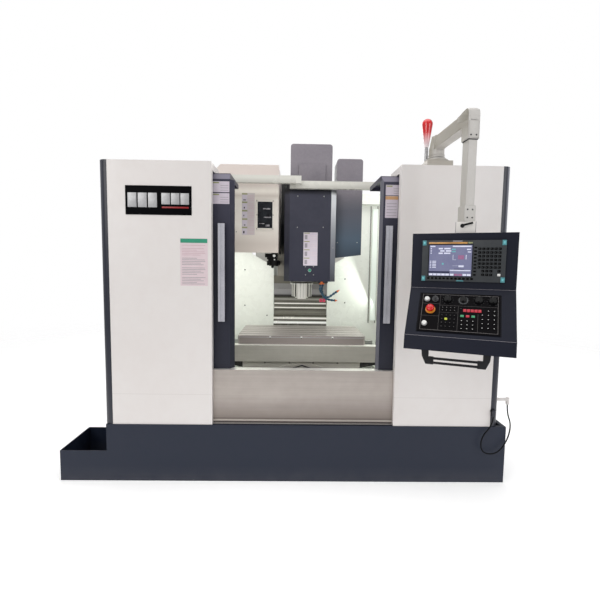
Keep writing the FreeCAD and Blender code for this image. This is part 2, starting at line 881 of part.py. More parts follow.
def make_left_front_cover():
    return mirrored(make_right_cover_shell())


def make_right_front_cover():
    y = front + arm_pivot_from_front
    half = arm_base_half
    base = box(arm_pivot_x - half, arm_pivot_x + half, y - half, y + half, cover_height, arm_base_top)
    flange = rod(arm_pivot_x, y, arm_base_top, arm_flange_radius, arm_flange_height)
    return join(make_right_cover_shell(), base, flange)


def make_side_panel(side):
    t = sheet
    x0 = body_half_width - corner_strip_width
    x1 = body_half_width
    r = corner_radius
    y_back = front + side_panel_depth
    diagonal = math.sqrt(0.5)
    centre_x = x1 - r
    centre_y = front + r
    outer_arc = Part.Arc(Vec(centre_x, front, tank_height),
                         Vec(centre_x + r * diagonal, centre_y - r * diagonal, tank_height),
                         Vec(x1, centre_y, tank_height)).toShape()
    inner_arc = Part.Arc(Vec(x1 - t, centre_y, tank_height),
                         Vec(centre_x + (r - t) * diagonal, centre_y - (r - t) * diagonal, tank_height),
                         Vec(centre_x, front + t, tank_height)).toShape()
    fold = side_panel_rear_fold
    corners = [Vec(x1, centre_y, 0), Vec(x1, y_back, 0), Vec(x1 - fold, y_back, 0), Vec(x1 - fold, y_back - t, 0),
               Vec(x1 - t, y_back - t, 0), Vec(x1 - t, centre_y, 0)]
    lift = Vec(0, 0, tank_height)
    corners = [point.add(lift) for point in corners]
    edges = [outer_arc]
    edges += [Part.makeLine(a, b) for a, b in zip(corners[:-1], corners[1:])]
    edges.append(inner_arc)
    edges.append(Part.makeLine(Vec(centre_x, front + t, tank_height), Vec(x0, front + t, tank_height)))
    edges.append(Part.makeLine(Vec(x0, front + t, tank_height), Vec(x0, front, tank_height)))
    edges.append(Part.makeLine(Vec(x0, front, tank_height), Vec(centre_x, front, tank_height)))
    panel = Part.Face(Part.Wire(Part.__sortEdges__(edges))).extrude(Vec(0, 0, cover_height - tank_height))
    hatch_y = front + side_panel_depth / 2 - side_hatch_length / 2
    hatch_z = tank_height + 300
    hatch = box(x1, x1 + t, hatch_y, hatch_y + side_hatch_length, hatch_z, hatch_z + side_hatch_height)
    grips = []
    for step in (0.25, 0.75):
        grips.append(box(x1 + t, x1 + 4 * t, hatch_y + 30, hatch_y + 60, hatch_z + side_hatch_height * step - 50,
                         hatch_z + side_hatch_height * step + 50))
    panel = join(panel, hatch, *grips)
    return panel if side > 0 else mirrored(panel)


def make_left_side_panel():
    return make_side_panel(-1)


def make_right_side_panel():
    # with two angled cable outlets, at the front of the corner strip and on the side
    start, finish = gland_places()
    outlets = []
    bores = []
    for place in (start, finish):
        stem = gland_radius + outlet_drop
        outlets.append(rod(place.x, place.y, place.z - gland_length, gland_radius,
                           gland_length + stem + gland_radius))
        bores.append(rod(place.x, place.y, place.z - gland_length, cable_radius + screw_fit, gland_length))
    outlets.append(rod(start.x, front + outlet_inside, start.z + gland_radius + outlet_drop, gland_radius - 1,
                       front + outlet_inside - start.y, Vec(0, -1, 0)))
    outlets.append(rod(body_half_width - outlet_inside, finish.y, finish.z + gland_radius + outlet_drop,
                       gland_radius - 1, finish.x - body_half_width + outlet_inside, X_AXIS))
    return carve(join(make_side_panel(1), *outlets), *bores)


def make_front_apron():
    t = sheet
    half = opening_half_width - seat
    y0 = front + apron_set_back
    rail_y = front + door_front
    rail_top = door_foot - seat
    face = box(-half, half, y0, y0 + t, tank_height, rail_top)
    top = box(-half, half, y0, rail_y + 2, rail_top - t, rail_top)
    reach = opening_half_width + door_width - 100
    rail = box(-reach, reach, rail_y + 2, rail_y + door_thickness - 2, rail_top - apron_rail_height, rail_top)
    foot_lip = box(-half, half, y0 - apron_lip, y0, tank_height, tank_height + t)
    strip = box(-half, half, y0 - 5, y0, tank_height + 14, tank_height + 20)
    ends = [box(side * reach - 6, side * reach + 6, rail_y + 2, rail_y + door_thickness - 2, tank_height,
                rail_top - apron_rail_height) for side in (-1, 1)]
    return join(face, top, rail, foot_lip, strip, *ends)


def make_header_beams():
    y0 = front + left_beam_front
    y1 = y0 + beam_depth
    y2 = y1 + beam_depth
    side_x = body_half_width - sheet
    left = box(-side_x, left_beam_end, y0, y1, left_beam_foot, left_beam_foot + beam_height)
    left_end = box(-side_x, -side_x + 30, y0, y1, cover_height - beam_end_drop, left_beam_foot)
    right = box(right_beam_end, side_x, y1, y2, right_beam_foot, right_beam_foot + beam_height)
    inner = box(right_beam_end + sheet, side_x - sheet, y1 + sheet, y2 + 1, right_beam_foot + sheet,
                right_beam_foot + beam_height - sheet)
    return group(join(left, left_end), carve(right, inner))


def make_inner_guards():
    t = sheet
    y1 = front + guard_plane
    half = inner_wall_half
    low = bed_top + rail_height + 6
    bed_side = bed_half_width + seat
    outline = [(-half, floor_at_wall), (-bed_side, floor_at_bed), (-bed_side, low), (-guard_slot_half, low),
               (-guard_slot_half, guard_shoulder_low),
               (-guard_shoulder_half, guard_shoulder_high), (-guard_shoulder_half, guard_top),
               (-half, guard_top)]
    left_back = front_profile(outline, y1, y1 + t)
    right_back = mirrored(left_back)
    top_rails = []
    for side in (-1, 1):
        rail_ends = sorted([side * (half + t), side * guard_shoulder_half])
        top_rails.append(box(rail_ends[0], rail_ends[1], y1 - guard_rail_depth, y1 + t, guard_top,
                             guard_top + guard_rail_height))
    base_y = cover_plate_y(4)
    base = box(-guard_slot_half - 20, guard_slot_half + 20, base_y, base_y + t, deck_top, base_plate_top)
    legs = []
    for side in (-1, 1):
        x = side * (guard_slot_half + 10)
        legs.append(box(x - 10, x + 10, y1 + t, base_y, deck_top + 40, base_plate_top))
    walls = []
    for side in (-1, 1):
        wall = side_profile([(front + inner_wall_front, floor_at_bed), (y1 + t, floor_at_bed),
                             (y1 + t, guard_top), (front + hood_zone_depth + 40, guard_top),
                             (front + hood_zone_depth + 40, inner_wall_low_top),
                             (front + inner_wall_front, inner_wall_low_top)],
                            min(side * half, side * (half + t)), max(side * half, side * (half + t)))
        walls.append(wall)
        ledge_z = inner_wall_low_top - t
        edge = side * (body_half_width - t)
        walls.append(box(min(side * half, edge), max(side * half, edge), front + inner_wall_front, y1 + t,
                         ledge_z - t, ledge_z))
    floors = []
    for side in (-1, 1):
        inner = side * bed_side
        outer = side * half
        floors.append(front_profile([(inner, floor_at_bed), (outer, floor_at_wall), (outer, floor_at_wall + t),
                                     (inner, floor_at_bed + t)], front + inner_wall_front, y1 + t))
    trough = side_profile([(front + inner_wall_front, trough_low), (front + bed_front_gap - seat, floor_at_bed),
                           (front + bed_front_gap - seat, floor_at_bed + t),
                           (front + inner_wall_front, trough_low + t)], -bed_half_width - seat, bed_half_width + seat)
    return join(left_back, right_back, *top_rails, base, *legs, *walls, *floors, trough)


# ---------------- doors ----------------

def make_door(edge, side, bevel, hood_inset):
    # side -1: the door at the left, whose closing edge is on its right and reaches past its hood
    t = door_thickness
    y0 = front + door_front
    far = edge + side * door_width
    x0, x1 = min(edge, far), max(edge, far)
    outline = [(edge, y0 + t), (edge + side * bevel, y0), (far, y0), (far, y0 + t)]
    slab = plan_profile(outline, door_foot, door_top)
    top_cut = side_profile([(y0 - 1, door_top - door_top_bevel), (y0 - 1, door_top + 1),
                            (y0 + t - 5, door_top + 1)], x0 - 1, x1 + 1)
    window_near = edge + side * door_window_inset
    window_far = window_near + side * door_window_width
    hole = box(min(window_near, window_far), max(window_near, window_far), y0 - 1, y0 + t + 1,
               door_window_foot, door_window_foot + door_window_height)
    hood_side = edge + side * hood_inset
    corner_x = sorted([edge - side, hood_side])
    corner_cut = box(corner_x[0], corner_x[1], y0 - 1, y0 + t + 1, door_top - door_top_bevel, door_top + 1)
    roof_x = sorted([hood_side, far])
    roof_z = door_top
    roof = box(roof_x[0], roof_x[1], y0 + t - 8, front + hood_depth, roof_z - sheet, roof_z)
    near_flange = sorted([hood_side, hood_side + side * sheet])
    flange = box(near_flange[0], near_flange[1], y0 + t - 8, front + hood_depth, roof_z - hood_flange, roof_z)
    back = box(roof_x[0], roof_x[1], front + hood_depth - sheet, front + hood_depth, roof_z - hood_flange, roof_z)
    return join(carve(slab, top_cut, corner_cut, hole), roof, flange, back)


def make_door_glass(edge, side):
    y0 = front + door_front + (door_thickness - glass_thickness) / 2
    near = edge + side * door_window_inset
    far = near + side * door_window_width
    return box(min(near, far), max(near, far), y0, y0 + glass_thickness, door_window_foot,
               door_window_foot + door_window_height)


def make_door_handle(edge, side):
    y1 = front + door_front
    y0 = y1 - handle_stand_off
    x = edge + side * handle_from_edge
    half = handle_width / 2
    bar = box(x - half, x + half, y0, y0 + handle_depth, handle_foot, handle_foot + handle_length)
    posts = [box(x - half + 8, x + half - 8, y0 + handle_depth, y1, z, z + 24)
             for z in (handle_foot + 20, handle_foot + handle_length - 44)]
    groove = box(x - 5, x + 5, y0 - 1, y0 + 3, handle_foot - 1, handle_foot + handle_length + 1)
    return join(carve(bar, groove), *posts)


def make_left_door():
    return make_door(left_door_edge, -1, left_door_bevel, left_door_bevel)


def make_left_door_glass():
    return make_door_glass(left_door_edge, -1)


def make_left_door_handle():
    return make_door_handle(left_door_edge, -1)


def make_right_door():
    return make_door(right_door_edge, 1, right_door_bevel, 0)


def make_right_door_glass():
    return make_door_glass(right_door_edge, 1)


def make_right_door_handle():
    return make_door_handle(right_door_edge - 22, 1)


# ---------------- tool changer ----------------

def make_magazine_cover():
    y0 = front + magazine_front
    y1 = y0 + magazine_depth
    c = magazine_chamfer
    t = sheet

    def outline(inset, foot):
        left, right, top = magazine_left + inset, magazine_right - inset, magazine_top - inset
        cut = c - inset * 0.6
        return [(left, foot), (right, foot), (right, top), (left + cut, top), (left, top - cut)]

    shell = front_profile(outline(0, magazine_foot), y0, y1)
    room = front_profile(outline(t, magazine_foot - 1), y0 + t, y1 + 1)
    opening = box(window_left, window_left + window_width, y0 - 1, y0 + t + 1, window_foot,
                  window_foot + window_height)
    return carve(shell, room, opening)


def make_magazine_window():
    y0 = front + magazine_front
    f = window_frame
    return box(window_left - f, window_left + window_width + f, y0 - 5, y0, window_foot - f,
               window_foot + window_height + f)


def magazine_centre_z():
    return magazine_foot + 20 + pocket_circle_radius + pocket_radius


def disc_face_x():
    return magazine_left + disc_side_gap


def make_tool_changer_box():
    column_y = front + column_face_from_front
    x1 = arm_axis_x - 110
    body = box(x1, x1 + cam_box_width, axis_y - 85, front + cam_box_rear, cam_box_foot, cam_box_top)
    nose = box(x1, magazine_right - sheet - seat, axis_y - 55, axis_y + 55, cam_box_foot, cam_box_top)
    bracket = box(x1, -column_half_width, front + cam_box_rear - 40, column_y + 160, cam_box_foot + 40,
                  cam_box_top - 40)
    shaft = rod(disc_face_x() - 12, axis_y, magazine_centre_z(), disc_shaft_radius, x1 - disc_face_x() + 12, X_AXIS)
    bore = rod(arm_axis_x, axis_y, cam_box_foot - 1, arm_shaft_radius + screw_fit, 260)
    return carve(join(body, nose, bracket, shaft), bore)


def ten_sided(x, y, z, radius, length):
    points = [Vec(x, y + radius * math.cos(math.radians(36 * k)), z + radius * math.sin(math.radians(36 * k)))
              for k in range(10)]
    return prism(points, Vec(length, 0, 0))


def make_magazine_disc():
    # the disc, its pockets, and in each pocket a toolholder's flange and nose
    x0 = disc_face_x()
    z0 = magazine_centre_z()
    rim = pocket_circle_radius - pocket_radius * 0.4
    plate = rod(x0, axis_y, z0, rim, disc_plate_thickness, X_AXIS)
    hub = rod(x0, axis_y, z0, disc_shaft_radius + 22, disc_plate_thickness + 40, X_AXIS)
    pockets = []
    for step in range(pocket_count):
        angle = 2 * math.pi * (step + 0.5) / pocket_count
        y = axis_y + pocket_circle_radius * math.cos(angle)
        z = z0 + pocket_circle_radius * math.sin(angle)
        pockets.append(ten_sided(x0, y, z, pocket_radius, pocket_length))
        pockets.append(ten_sided(x0 + pocket_length - 4, y, z, holder_flange_radius, 20))
        pockets.append(ten_sided(x0 + pocket_length + 12, y, z, holder_nose_radius, holder_nose_length))
    wheel = join(plate, hub, *pockets)
    return carve(wheel, rod(x0 - 1, axis_y, z0, disc_shaft_radius + screw_fit, pocket_length, X_AXIS))


def make_change_arm():
    z1 = arm_top
    z0 = z1 - arm_thickness
    reach = -arm_axis_x
    hub = rod(arm_axis_x, axis_y, z0 - 6, 40, arm_thickness + 12)
    web = box(arm_axis_x - 27, arm_axis_x + 27, axis_y - reach + 20, axis_y + reach - 20, z0, z1)
    shaft = rod(arm_axis_x, axis_y, z1, arm_shaft_radius, cam_box_foot - z1 + arm_stroke + 20)
    body = join(hub, web, shaft)
    for side in (-1, 1):
        y = axis_y + side * reach
        body = join(body, rod(arm_axis_x, y, z0, arm_jaw_radius, arm_thickness))
        mouth = box(arm_axis_x - (60 if side > 0 else 0), arm_axis_x + (60 if side < 0 else 0),
                    y - holder_flange_radius + 5, y + holder_flange_radius - 5, z0 - 1, z1 + 1)
        body = carve(body, rod(arm_axis_x, y, z0 - 1, holder_flange_radius, arm_thickness + 2), mouth)
    return body


# ---------------- electrical cabinet ----------------

def make_electrical_cabinet():
    y0 = front + column_face_from_front + column_depth
    y1 = y0 + cabinet_depth
    half = cabinet_half_width
    t = cabinet_wall
    shell = carve(box(-half, half, y0, y1, cabinet_foot, cabinet_top),
                  box(-half + t, half - t, y0 + t, y1 + 1, cabinet_foot + t, cabinet_top - t))
    plate = box(-half + 40, half - 40, y0 + t, y0 + 20, cabinet_foot + 40, cabinet_top - 40)
    units = []
    for step in range(4):
        x = -half + 90 + step * 120
        units.append(box(x, x + 90, y0 + 20, y0 + 200, cabinet_top - 560, cabinet_top - 180))
    transformer = box(half - 330, half - 90, y0 + 20, y0 + 200, cabinet_foot + t, cabinet_foot + 240)
    cooler = box(-half + 120, half - 120, y0 + 60, y1 - 40, cabinet_top, cabinet_top + 120)
    pins = []
    for z in hinge_heights():
        pins.append(rod(-half - hinge_knuckle_radius, y1 + hinge_knuckle_radius, z - 55, hinge_pin_radius, 110))
        pins.append(box(-half - hinge_knuckle_radius * 2, -half, y1 - 30, y1 + hinge_knuckle_radius + 6, z - 75, z - 55))
    return join(shell, plate, transformer, cooler, *units, *pins)


def hinge_heights():
    third = (cabinet_top - cabinet_foot) / 6
    return [cabinet_foot + third, cabinet_top - third]


def make_cabinet_door():
    y0 = front + column_face_from_front + column_depth + cabinet_depth + cabinet_door_gap
    half = cabinet_half_width
    t = cabinet_door_thickness
    door = box(-half + 2, half, y0, y0 + t, cabinet_foot, cabinet_top)
    pivot_y = y0 - cabinet_door_gap + hinge_knuckle_radius
    knuckles = []
    for z in hinge_heights():
        knuckle = rod(-half - hinge_knuckle_radius, pivot_y, z - 50, hinge_knuckle_radius, 100)
        leaf = box(-half - hinge_knuckle_radius, -half + 60, pivot_y + hinge_knuckle_radius - 5,
                   y0 + t + 3, z - 50, z + 50)
        bore = rod(-half - hinge_knuckle_radius, pivot_y, z - 60, hinge_pin_radius + screw_fit, 120)
        knuckles.append(carve(join(knuckle, leaf), bore))
    grip = box(half - 70, half - 45, y0 + t, y0 + t + 30, cabinet_foot + 600, cabinet_foot + 760)
    boss = rod(switch_x(), y0 + t, switch_height, switch_radius + 12, 6, Y_AXIS)
    stem = rod(switch_x(), y0 + t + 6, switch_height, 8, 14, Y_AXIS)
    return join(door, grip, boss, stem, *knuckles)


def switch_x():
    return cabinet_half_width - 160


def make_main_switch():
    y0 = front + column_face_from_front + column_depth + cabinet_depth + cabinet_door_gap
    y = y0 + cabinet_door_thickness + 6.3
    dial = rod(switch_x(), y, switch_height, switch_radius, 14, Y_AXIS)
    lever = box(switch_x() - 9, switch_x() + 9, y + 14, y + 34, switch_height - switch_radius - 8,
                switch_height + switch_radius + 8)
    return carve(join(dial, lever), rod(switch_x(), y - 1, switch_height, 8 + screw_fit, 15.2, Y_AXIS))


# ---------------- operator's panel and its arm ----------------

def pivot_y():
    return front + arm_pivot_from_front


def tube_axis():
    swing = math.radians(arm_yaw)
    return arm_pivot_x + arm_reach * math.sin(swing), pivot_y() - arm_reach * math.cos(swing)


def upper_edges(solid, top, *sharp):
    # the solid's edges at height top, without those that lie in the planes y = sharp
    chosen = []
    for edge in solid.Edges:
        centre = edge.CenterOfMass
        if abs(centre.z - top) < 0.01 and all(abs(centre.y - y) > 0.01 for y in sharp):
            chosen.append(edge)
    return chosen


def make_swing_arm():
    x, y = arm_pivot_x, pivot_y()
    flange_top = arm_base_top + arm_flange_height + seat
    neck = rod(x, y, flange_top, arm_neck_radius, arm_beam_foot - flange_top)
    hub = Part.makeCone(arm_neck_radius, arm_hub_top_radius, arm_hub_top - arm_beam_foot, Vec(x, y, arm_beam_foot))
    y_tube = y - arm_reach
    half_beam = arm_beam_width / 2
    half_elbow = elbow_depth / 2
    top = arm_beam_foot + arm_beam_height
    beam = box(x - half_beam, x + half_beam, y_tube + half_elbow - 2, y, arm_beam_foot, top)
    beam = beam.makeFillet(arm_beam_round, upper_edges(beam, top, y_tube + half_elbow - 2, y))
    elbow = box(x - half_beam, x + half_beam, y_tube - half_elbow, y_tube + half_elbow, elbow_foot, top)
    elbow = elbow.makeFillet(elbow_round, upper_edges(elbow, top, y_tube + half_elbow))
    tube = box(x - tube_width / 2, x + tube_width / 2, y_tube - tube_depth / 2, y_tube + tube_depth / 2,
               coupling_top, elbow_foot)
    coupling = box(x - coupling_width / 2, x + coupling_width / 2, y_tube - coupling_depth / 2,
                   y_tube + coupling_depth / 2, swivel_plane + seat, coupling_top)
    pin = rod(x, y_tube, swivel_plane - swivel_pin_depth, swivel_pin_radius, swivel_pin_depth + 10)
    arm = join(neck, hub, beam, elbow, tube, coupling, pin)
    return turned(arm, x, y, arm_yaw)


def to_panel(shape):
    # from the panel's own frame (x right, y back, origin on the swivel axis) to its place
    x, y = tube_axis()
    moved = shape.copy()
    moved.rotate(Vec(0, 0, 0), Z_AXIS, panel_yaw)
    moved.translate(Vec(x, y, 0))
    return moved


def panel_left():
    return -panel_axis_offset - panel_width / 2


def make_pendant_housing():
    y0 = -panel_face_ahead
    top = panel_top
    fold = top - screen_face_height
    knee = fold - console_drop
    foot = knee - skirt_drop
    d = panel_frame_depth
    left = panel_left()
    right = left + panel_width
    face = side_profile([(y0, top), (y0, fold), (y0 - console_reach, knee), (y0 - console_reach - skirt_reach, foot),
                         (y0 - console_reach + 25, foot), (y0 + d, fold - 20), (y0 + d, top)], left, right)
    inset = panel_back_inset
    back = side_profile([(y0 + d, top - inset), (y0 + d + panel_back_depth, top - inset - 20),
                         (y0 + d + panel_back_depth, fold + 10), (y0 + d, fold - 20)], left + inset, right - inset)
    lower_back = side_profile([(y0 - console_reach + 30, foot + 4), (y0 + d - 4, fold - 22), (y0 + d, fold + 10),
                               (y0 + d + panel_back_depth - 30, fold + 12), (y0 + d - 40, foot + 60),
                               (y0 - console_reach + 110, foot + 4)],
                              left + inset, right - inset)
    swivel = box(-swivel_half_width, swivel_half_width, -swivel_half_depth, swivel_half_depth,
                 top - inset, swivel_plane)
    socket = rod(0, 0, swivel_plane - swivel_pin_depth - seat, swivel_pin_radius + screw_fit,
                 swivel_pin_depth + 1)
    return to_panel(carve(join(face, back, lower_back, swivel), socket))


def make_display_unit():
    y0 = -panel_face_ahead
    centre = -panel_axis_offset
    z = panel_top - screen_face_height / 2
    half = screen_width / 2
    rim = box(centre - half, centre + half, y0 - screen_thickness, y0, z - screen_height / 2, z + screen_height / 2)
    recess = box(centre - half + 36, centre + half - key_field_width,
                 y0 - screen_thickness - 1, y0 - screen_thickness + 3,
                 z - screen_height / 2 + 34, z + screen_height / 2 - 18)
    rim = carve(rim, recess)
    keys = []
    for column in range(6):
        for row in range(5):
            x = centre + 68 + column * 20.5
            key_z = z + 70 - row * 34
            keys.append(box(x, x + 16, y0 - screen_thickness - 2.5, y0 - screen_thickness, key_z - 24, key_z))
    for column in range(12):
        x = centre - 158 + column * 18.6
        keys.append(box(x, x + 13, y0 - screen_thickness - 2.5, y0 - screen_thickness, z - 92, z - 78))
    return to_panel(join(rim, *keys))


def on_console(shape):
    # from the console face's frame (x right, y up the slope's normal, z up the slope) to its place
    tilt = math.degrees(math.atan2(console_reach, console_drop))
    moved = shape.copy()
    moved.rotate(Vec(0, 0, 0), X_AXIS, -tilt)
    moved.translate(Vec(-panel_axis_offset, -panel_face_ahead, panel_top - screen_face_height))
    return to_panel(moved)


def console_disc(position, radius, lift, height):
    return rod(position[0], -lift, -position[1], radius, height, Vec(0, -1, 0))


def make_control_panel():
    half = key_panel_width / 2
    t = key_panel_thickness
    left = -half - 6
    foot = -key_panel_from_fold - key_panel_length
    plate = box(left, left + key_panel_width, -t, 0, foot, -key_panel_from_fold)
    keys = []
    for block_x, columns, rows, pitch in ((-88, 4, 4, 17.0), (12, 5, 6, 17.0), (116, 4, 6, 17.0)):
        for column in range(columns):
            for row in range(rows):
                x = block_x + column * pitch
                z = -key_panel_from_fold - 80 - row * 21
                if z - 12 > foot + 8:
                    keys.append(box(x, x + 12, -t - 2, -t, z - 12, z))
    bosses = [console_disc(stop_position, stop_radius + 12, t, 4)]
    bosses.append(console_disc(stop_position, stop_radius * 0.45, t, 14))
    for place in (start_position, feed_position):
        ring = console_disc(place, push_radius + 3, t, 5)
        ring = carve(ring, console_disc(place, push_radius + 0.4, t, 6))
        bosses.append(ring)
    bosses.append(console_disc(lock_position, lock_radius + 2, t, 3))
    for place in knob_positions:
        bosses.append(console_disc(place, knob_radius + 6, t, 1.5))
    return on_console(join(plate, *keys, *bosses))


def make_emergency_stop():
    t = key_panel_thickness
    head = console_disc(stop_position, stop_radius, t + 4 + stop_travel + 1, 16)
    crown = console_disc(stop_position, stop_radius * 0.8, t + 4 + stop_travel + 17, 4)
    hollow = console_disc(stop_position, stop_radius * 0.45 + 0.1, t + 4 + stop_travel, 11)
    return on_console(carve(join(head, crown), hollow))


def push_button(place):
    t = key_panel_thickness
    return on_console(console_disc(place, push_radius, t + push_travel + 0.5, 9))


def make_start_button():
    return push_button(start_position)


def make_feed_button():
    return push_button(feed_position)


def make_lock_switch():
    t = key_panel_thickness
    barrel = console_disc(lock_position, lock_radius, t + 3 + seat, 7)
    tab = box(lock_position[0] - 2, lock_position[0] + 2, -t - 24, -t - 10, -lock_position[1] - 9,
              -lock_position[1] + 9)
    return on_console(join(barrel, tab))


def make_knob(number):
    place = knob_positions[number]
    t = key_panel_thickness
    base = t + 1.5 + seat
    skirt = console_disc(place, knob_radius, base, knob_height * 0.5)
    x, slope = place
    wing = box(x - 5, x + 5, -base - knob_height, -base, -slope - knob_radius + 2, -slope + knob_radius - 2)
    return on_console(join(skirt, wing))


def make_pendant_handle():
    foot = panel_top - screen_face_height - console_drop - skirt_drop
    y = -panel_face_ahead - console_reach + 5
    centre = -panel_axis_offset
    half = grip_length / 2
    brackets = []
    for side in (-1, 1):
        x = centre + side * half
        outer = x + side * 34
        points = [(x, foot), (outer, foot), (outer - side * 4, foot - 30), (x + side * 14, foot - grip_drop),
                  (x - side * 26, foot - grip_drop), (x - side * 26, foot - grip_drop + 22), (x, foot - grip_drop + 22)]
        brackets.append(front_profile(points, y - 12, y + 12))
    rods = []
    for drop in (grip_drop - 5, grip_drop - 18):
        rods.append(rod(centre - half + 20, y, foot - drop, grip_rod_radius, grip_length - 40, X_AXIS))
    return to_panel(join(*brackets, *rods))


def clamp_place():
    return Vec(-16, -45 - seat, panel_top + 38)


def make_clamp_lever():
    place = clamp_place()
    hub = rod(place.x, place.y, place.z, 8, 16, Vec(0, -1, 0))
    arm = box(place.x, place.x + 52, place.y - 24, place.y - 14, place.z - 5, place.z + 5)
    arm.rotate(Vec(place.x, place.y, place.z), Y_AXIS, -14)
    return to_panel(join(hub, arm))


# ---------------- lamp, light, loose cable ----------------

def make_signal_lamp():
    y = front + lamp_from_front
    foot = rod(lamp_x, y, cover_height, lamp_foot_radius, 8)
    pole = rod(lamp_x, y, cover_height + 8, lamp_pole_radius, lamp_foot - cover_height - 8)
    top = lamp_foot + lamp_height
    r = lamp_radius
    waist = Vec(lamp_x + lamp_pole_radius + 2, y, lamp_foot)
    shoulder = Vec(lamp_x + r, y, top - r)
    apex = Vec(lamp_x, y, top)
    crown = Part.Arc(shoulder, Vec(lamp_x + r * math.sqrt(0.5), y, top - r * (1 - math.sqrt(0.5))), apex).toShape()
    edges = [Part.makeLine(Vec(lamp_x, y, lamp_foot), waist), Part.makeLine(waist, shoulder), crown,
             Part.makeLine(apex, Vec(lamp_x, y, lamp_foot))]
    bulb = Part.Face(Part.Wire(edges)).revolve(Vec(lamp_x, y, 0), Z_AXIS, 360)
    return join(foot, pole, bulb)


def make_work_light():
    y1 = front + guard_plane
    return box(light_left, light_left + light_width, y1 - light_depth, y1, light_foot, light_foot + light_height)


def gland_places():
    # the cable's two ends, inside the outlet on the corner strip and the one on the panel's side
    start = Vec(body_half_width - 42.0, front - outlet_stand_off, 448.0)
    finish = Vec(body_half_width + 86.0, front + 70.0, 500.0)
    return start, finish


def cable_route():
    start, finish = gland_places()
    points = [(start.x, start.y, start.z), (start.x, start.y, 385.0), (1100.0, front - 37, 305.0),
              (1108.0, front - 37, 207.0), (1206.0, front - 37, 199.0), (1274.0, front - 25, 283.0),
              (1308.0, front + 3, 375.0), (finish.x, finish.y, 430.0), (finish.x, finish.y, finish.z)]
    return [Vec(*point) for point in points]


def rounded_path(points):
    # straight runs joined by tangent arcs of 0.45 of the shorter run at each point
    edges = []
    here = points[0]
    radii = []
    for before, corner, after in zip(points[:-2], points[1:-1], points[2:]):
        back = before.sub(corner)
        ahead = after.sub(corner)
        cut = 0.45 * min(back.Length, ahead.Length)
        back.normalize()
        ahead.normalize()
        half_turn = (math.pi - back.getAngle(ahead)) / 2
        radius = cut / math.tan(half_turn)
        radii.append(radius)
        first = corner + back * cut
        last = corner + ahead * cut
        towards = (back + ahead).normalize()
        centre = corner + towards * (radius / math.cos(half_turn))
        middle = centre - towards * radius
        edges.append(Part.makeLine(here, first))
        edges.append(Part.Arc(first, middle, last).toShape())
        here = last
    edges.append(Part.makeLine(here, points[-1]))
    return Part.Wire(edges), radii


def make_supply_cable():
    path, radii = rounded_path(cable_route())
    start = path.Edges[0]
    direction = start.tangentAt(start.FirstParameter)
    section = Part.Wire(Part.makeCircle(cable_radius, start.Vertexes[0].Point, direction))
    tube = path.makePipeShell([section], True, False)
    print("cable length", round(path.Length, 1), "least radius", round(min(radii), 1),
          "volume over section times length", round(tube.Volume / (math.pi * cable_radius ** 2 * path.Length), 4))
    return tube


nodes = {
    "coolant_tank": make_coolant_tank,
    "levelling_feet": make_levelling_feet,
    "bed_casting": make_bed_casting,
    "column_casting": make_column_casting,
    "axis_servomotors": make_axis_servomotors,
    "left_front_cover": make_left_front_cover,
    "right_front_cover": make_right_front_cover,
    "left_side_panel": make_left_side_panel,
    "right_side_panel": make_right_side_panel,
    "front_apron": make_front_apron,
    "header_beams": make_header_beams,
    "inner_guards": make_inner_guards,
    "magazine_cover": make_magazine_cover,
    "magazine_window": make_magazine_window,
    "tool_changer_box": make_tool_changer_box,
    "electrical_cabinet": make_electrical_cabinet,
    "signal_lamp": make_signal_lamp,
    "work_light": make_work_light,
    "supply_cable": make_supply_cable,
    "y_ball_screw": make_y_ball_screw,
    "saddle_casting": make_saddle_casting,
    "saddle_guard": make_saddle_guard,
    "x_servomotor": make_x_servomotor,
    "x_ball_screw": make_x_ball_screw,
    "work_table": make_work_table,
    "z_ball_screw": make_z_ball_screw,
    "head_casting": make_head_casting,
    "head_cover": make_head_cover,
    "motor_cover": make_motor_cover,
    "duct_box": make_duct_box,
    "spindle_cartridge": make_spindle_cartridge,
    "coolant_nozzles": make_coolant_nozzles,
    "spindle": make_spindle,
    "magazine_disc": make_magazine_disc,
    "change_arm": make_change_arm,
    "left_door": make_left_door,
    "left_door_glass": make_left_door_glass,
    "left_door_handle": make_left_door_handle,
    "right_door": make_right_door,
    "right_door_glass": make_right_door_glass,
    "right_door_handle": make_right_door_handle,
    "swing_arm": make_swing_arm,
    "pendant_housing": make_pendant_housing,
    "display_unit": make_display_unit,
    "control_panel": make_control_panel,
    "pendant_handle": make_pendant_handle,
    "clamp_lever": make_clamp_lever,
    "emergency_stop": make_emergency_stop,
    "start_button": make_start_button,
    "feed_button": make_feed_button,
    "lock_switch": make_lock_switch,
    "cabinet_door": make_cabinet_door,
    "main_switch": make_main_switch,
}
for step in range(len(cover_bottoms)):
    nodes["column_cover_%d" % (step + 1)] = lambda step=step: make_column_cover(step)
for number in range(len(knob_positions)):
    nodes["selector_knob_%d" % (number + 1)] = lambda number=number: make_knob(number)

for name, make in nodes.items():
    make().exportStep("parts/%s.step" % name)
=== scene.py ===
import bmesh
import bpy
import math
from mathutils import Matrix, Vector


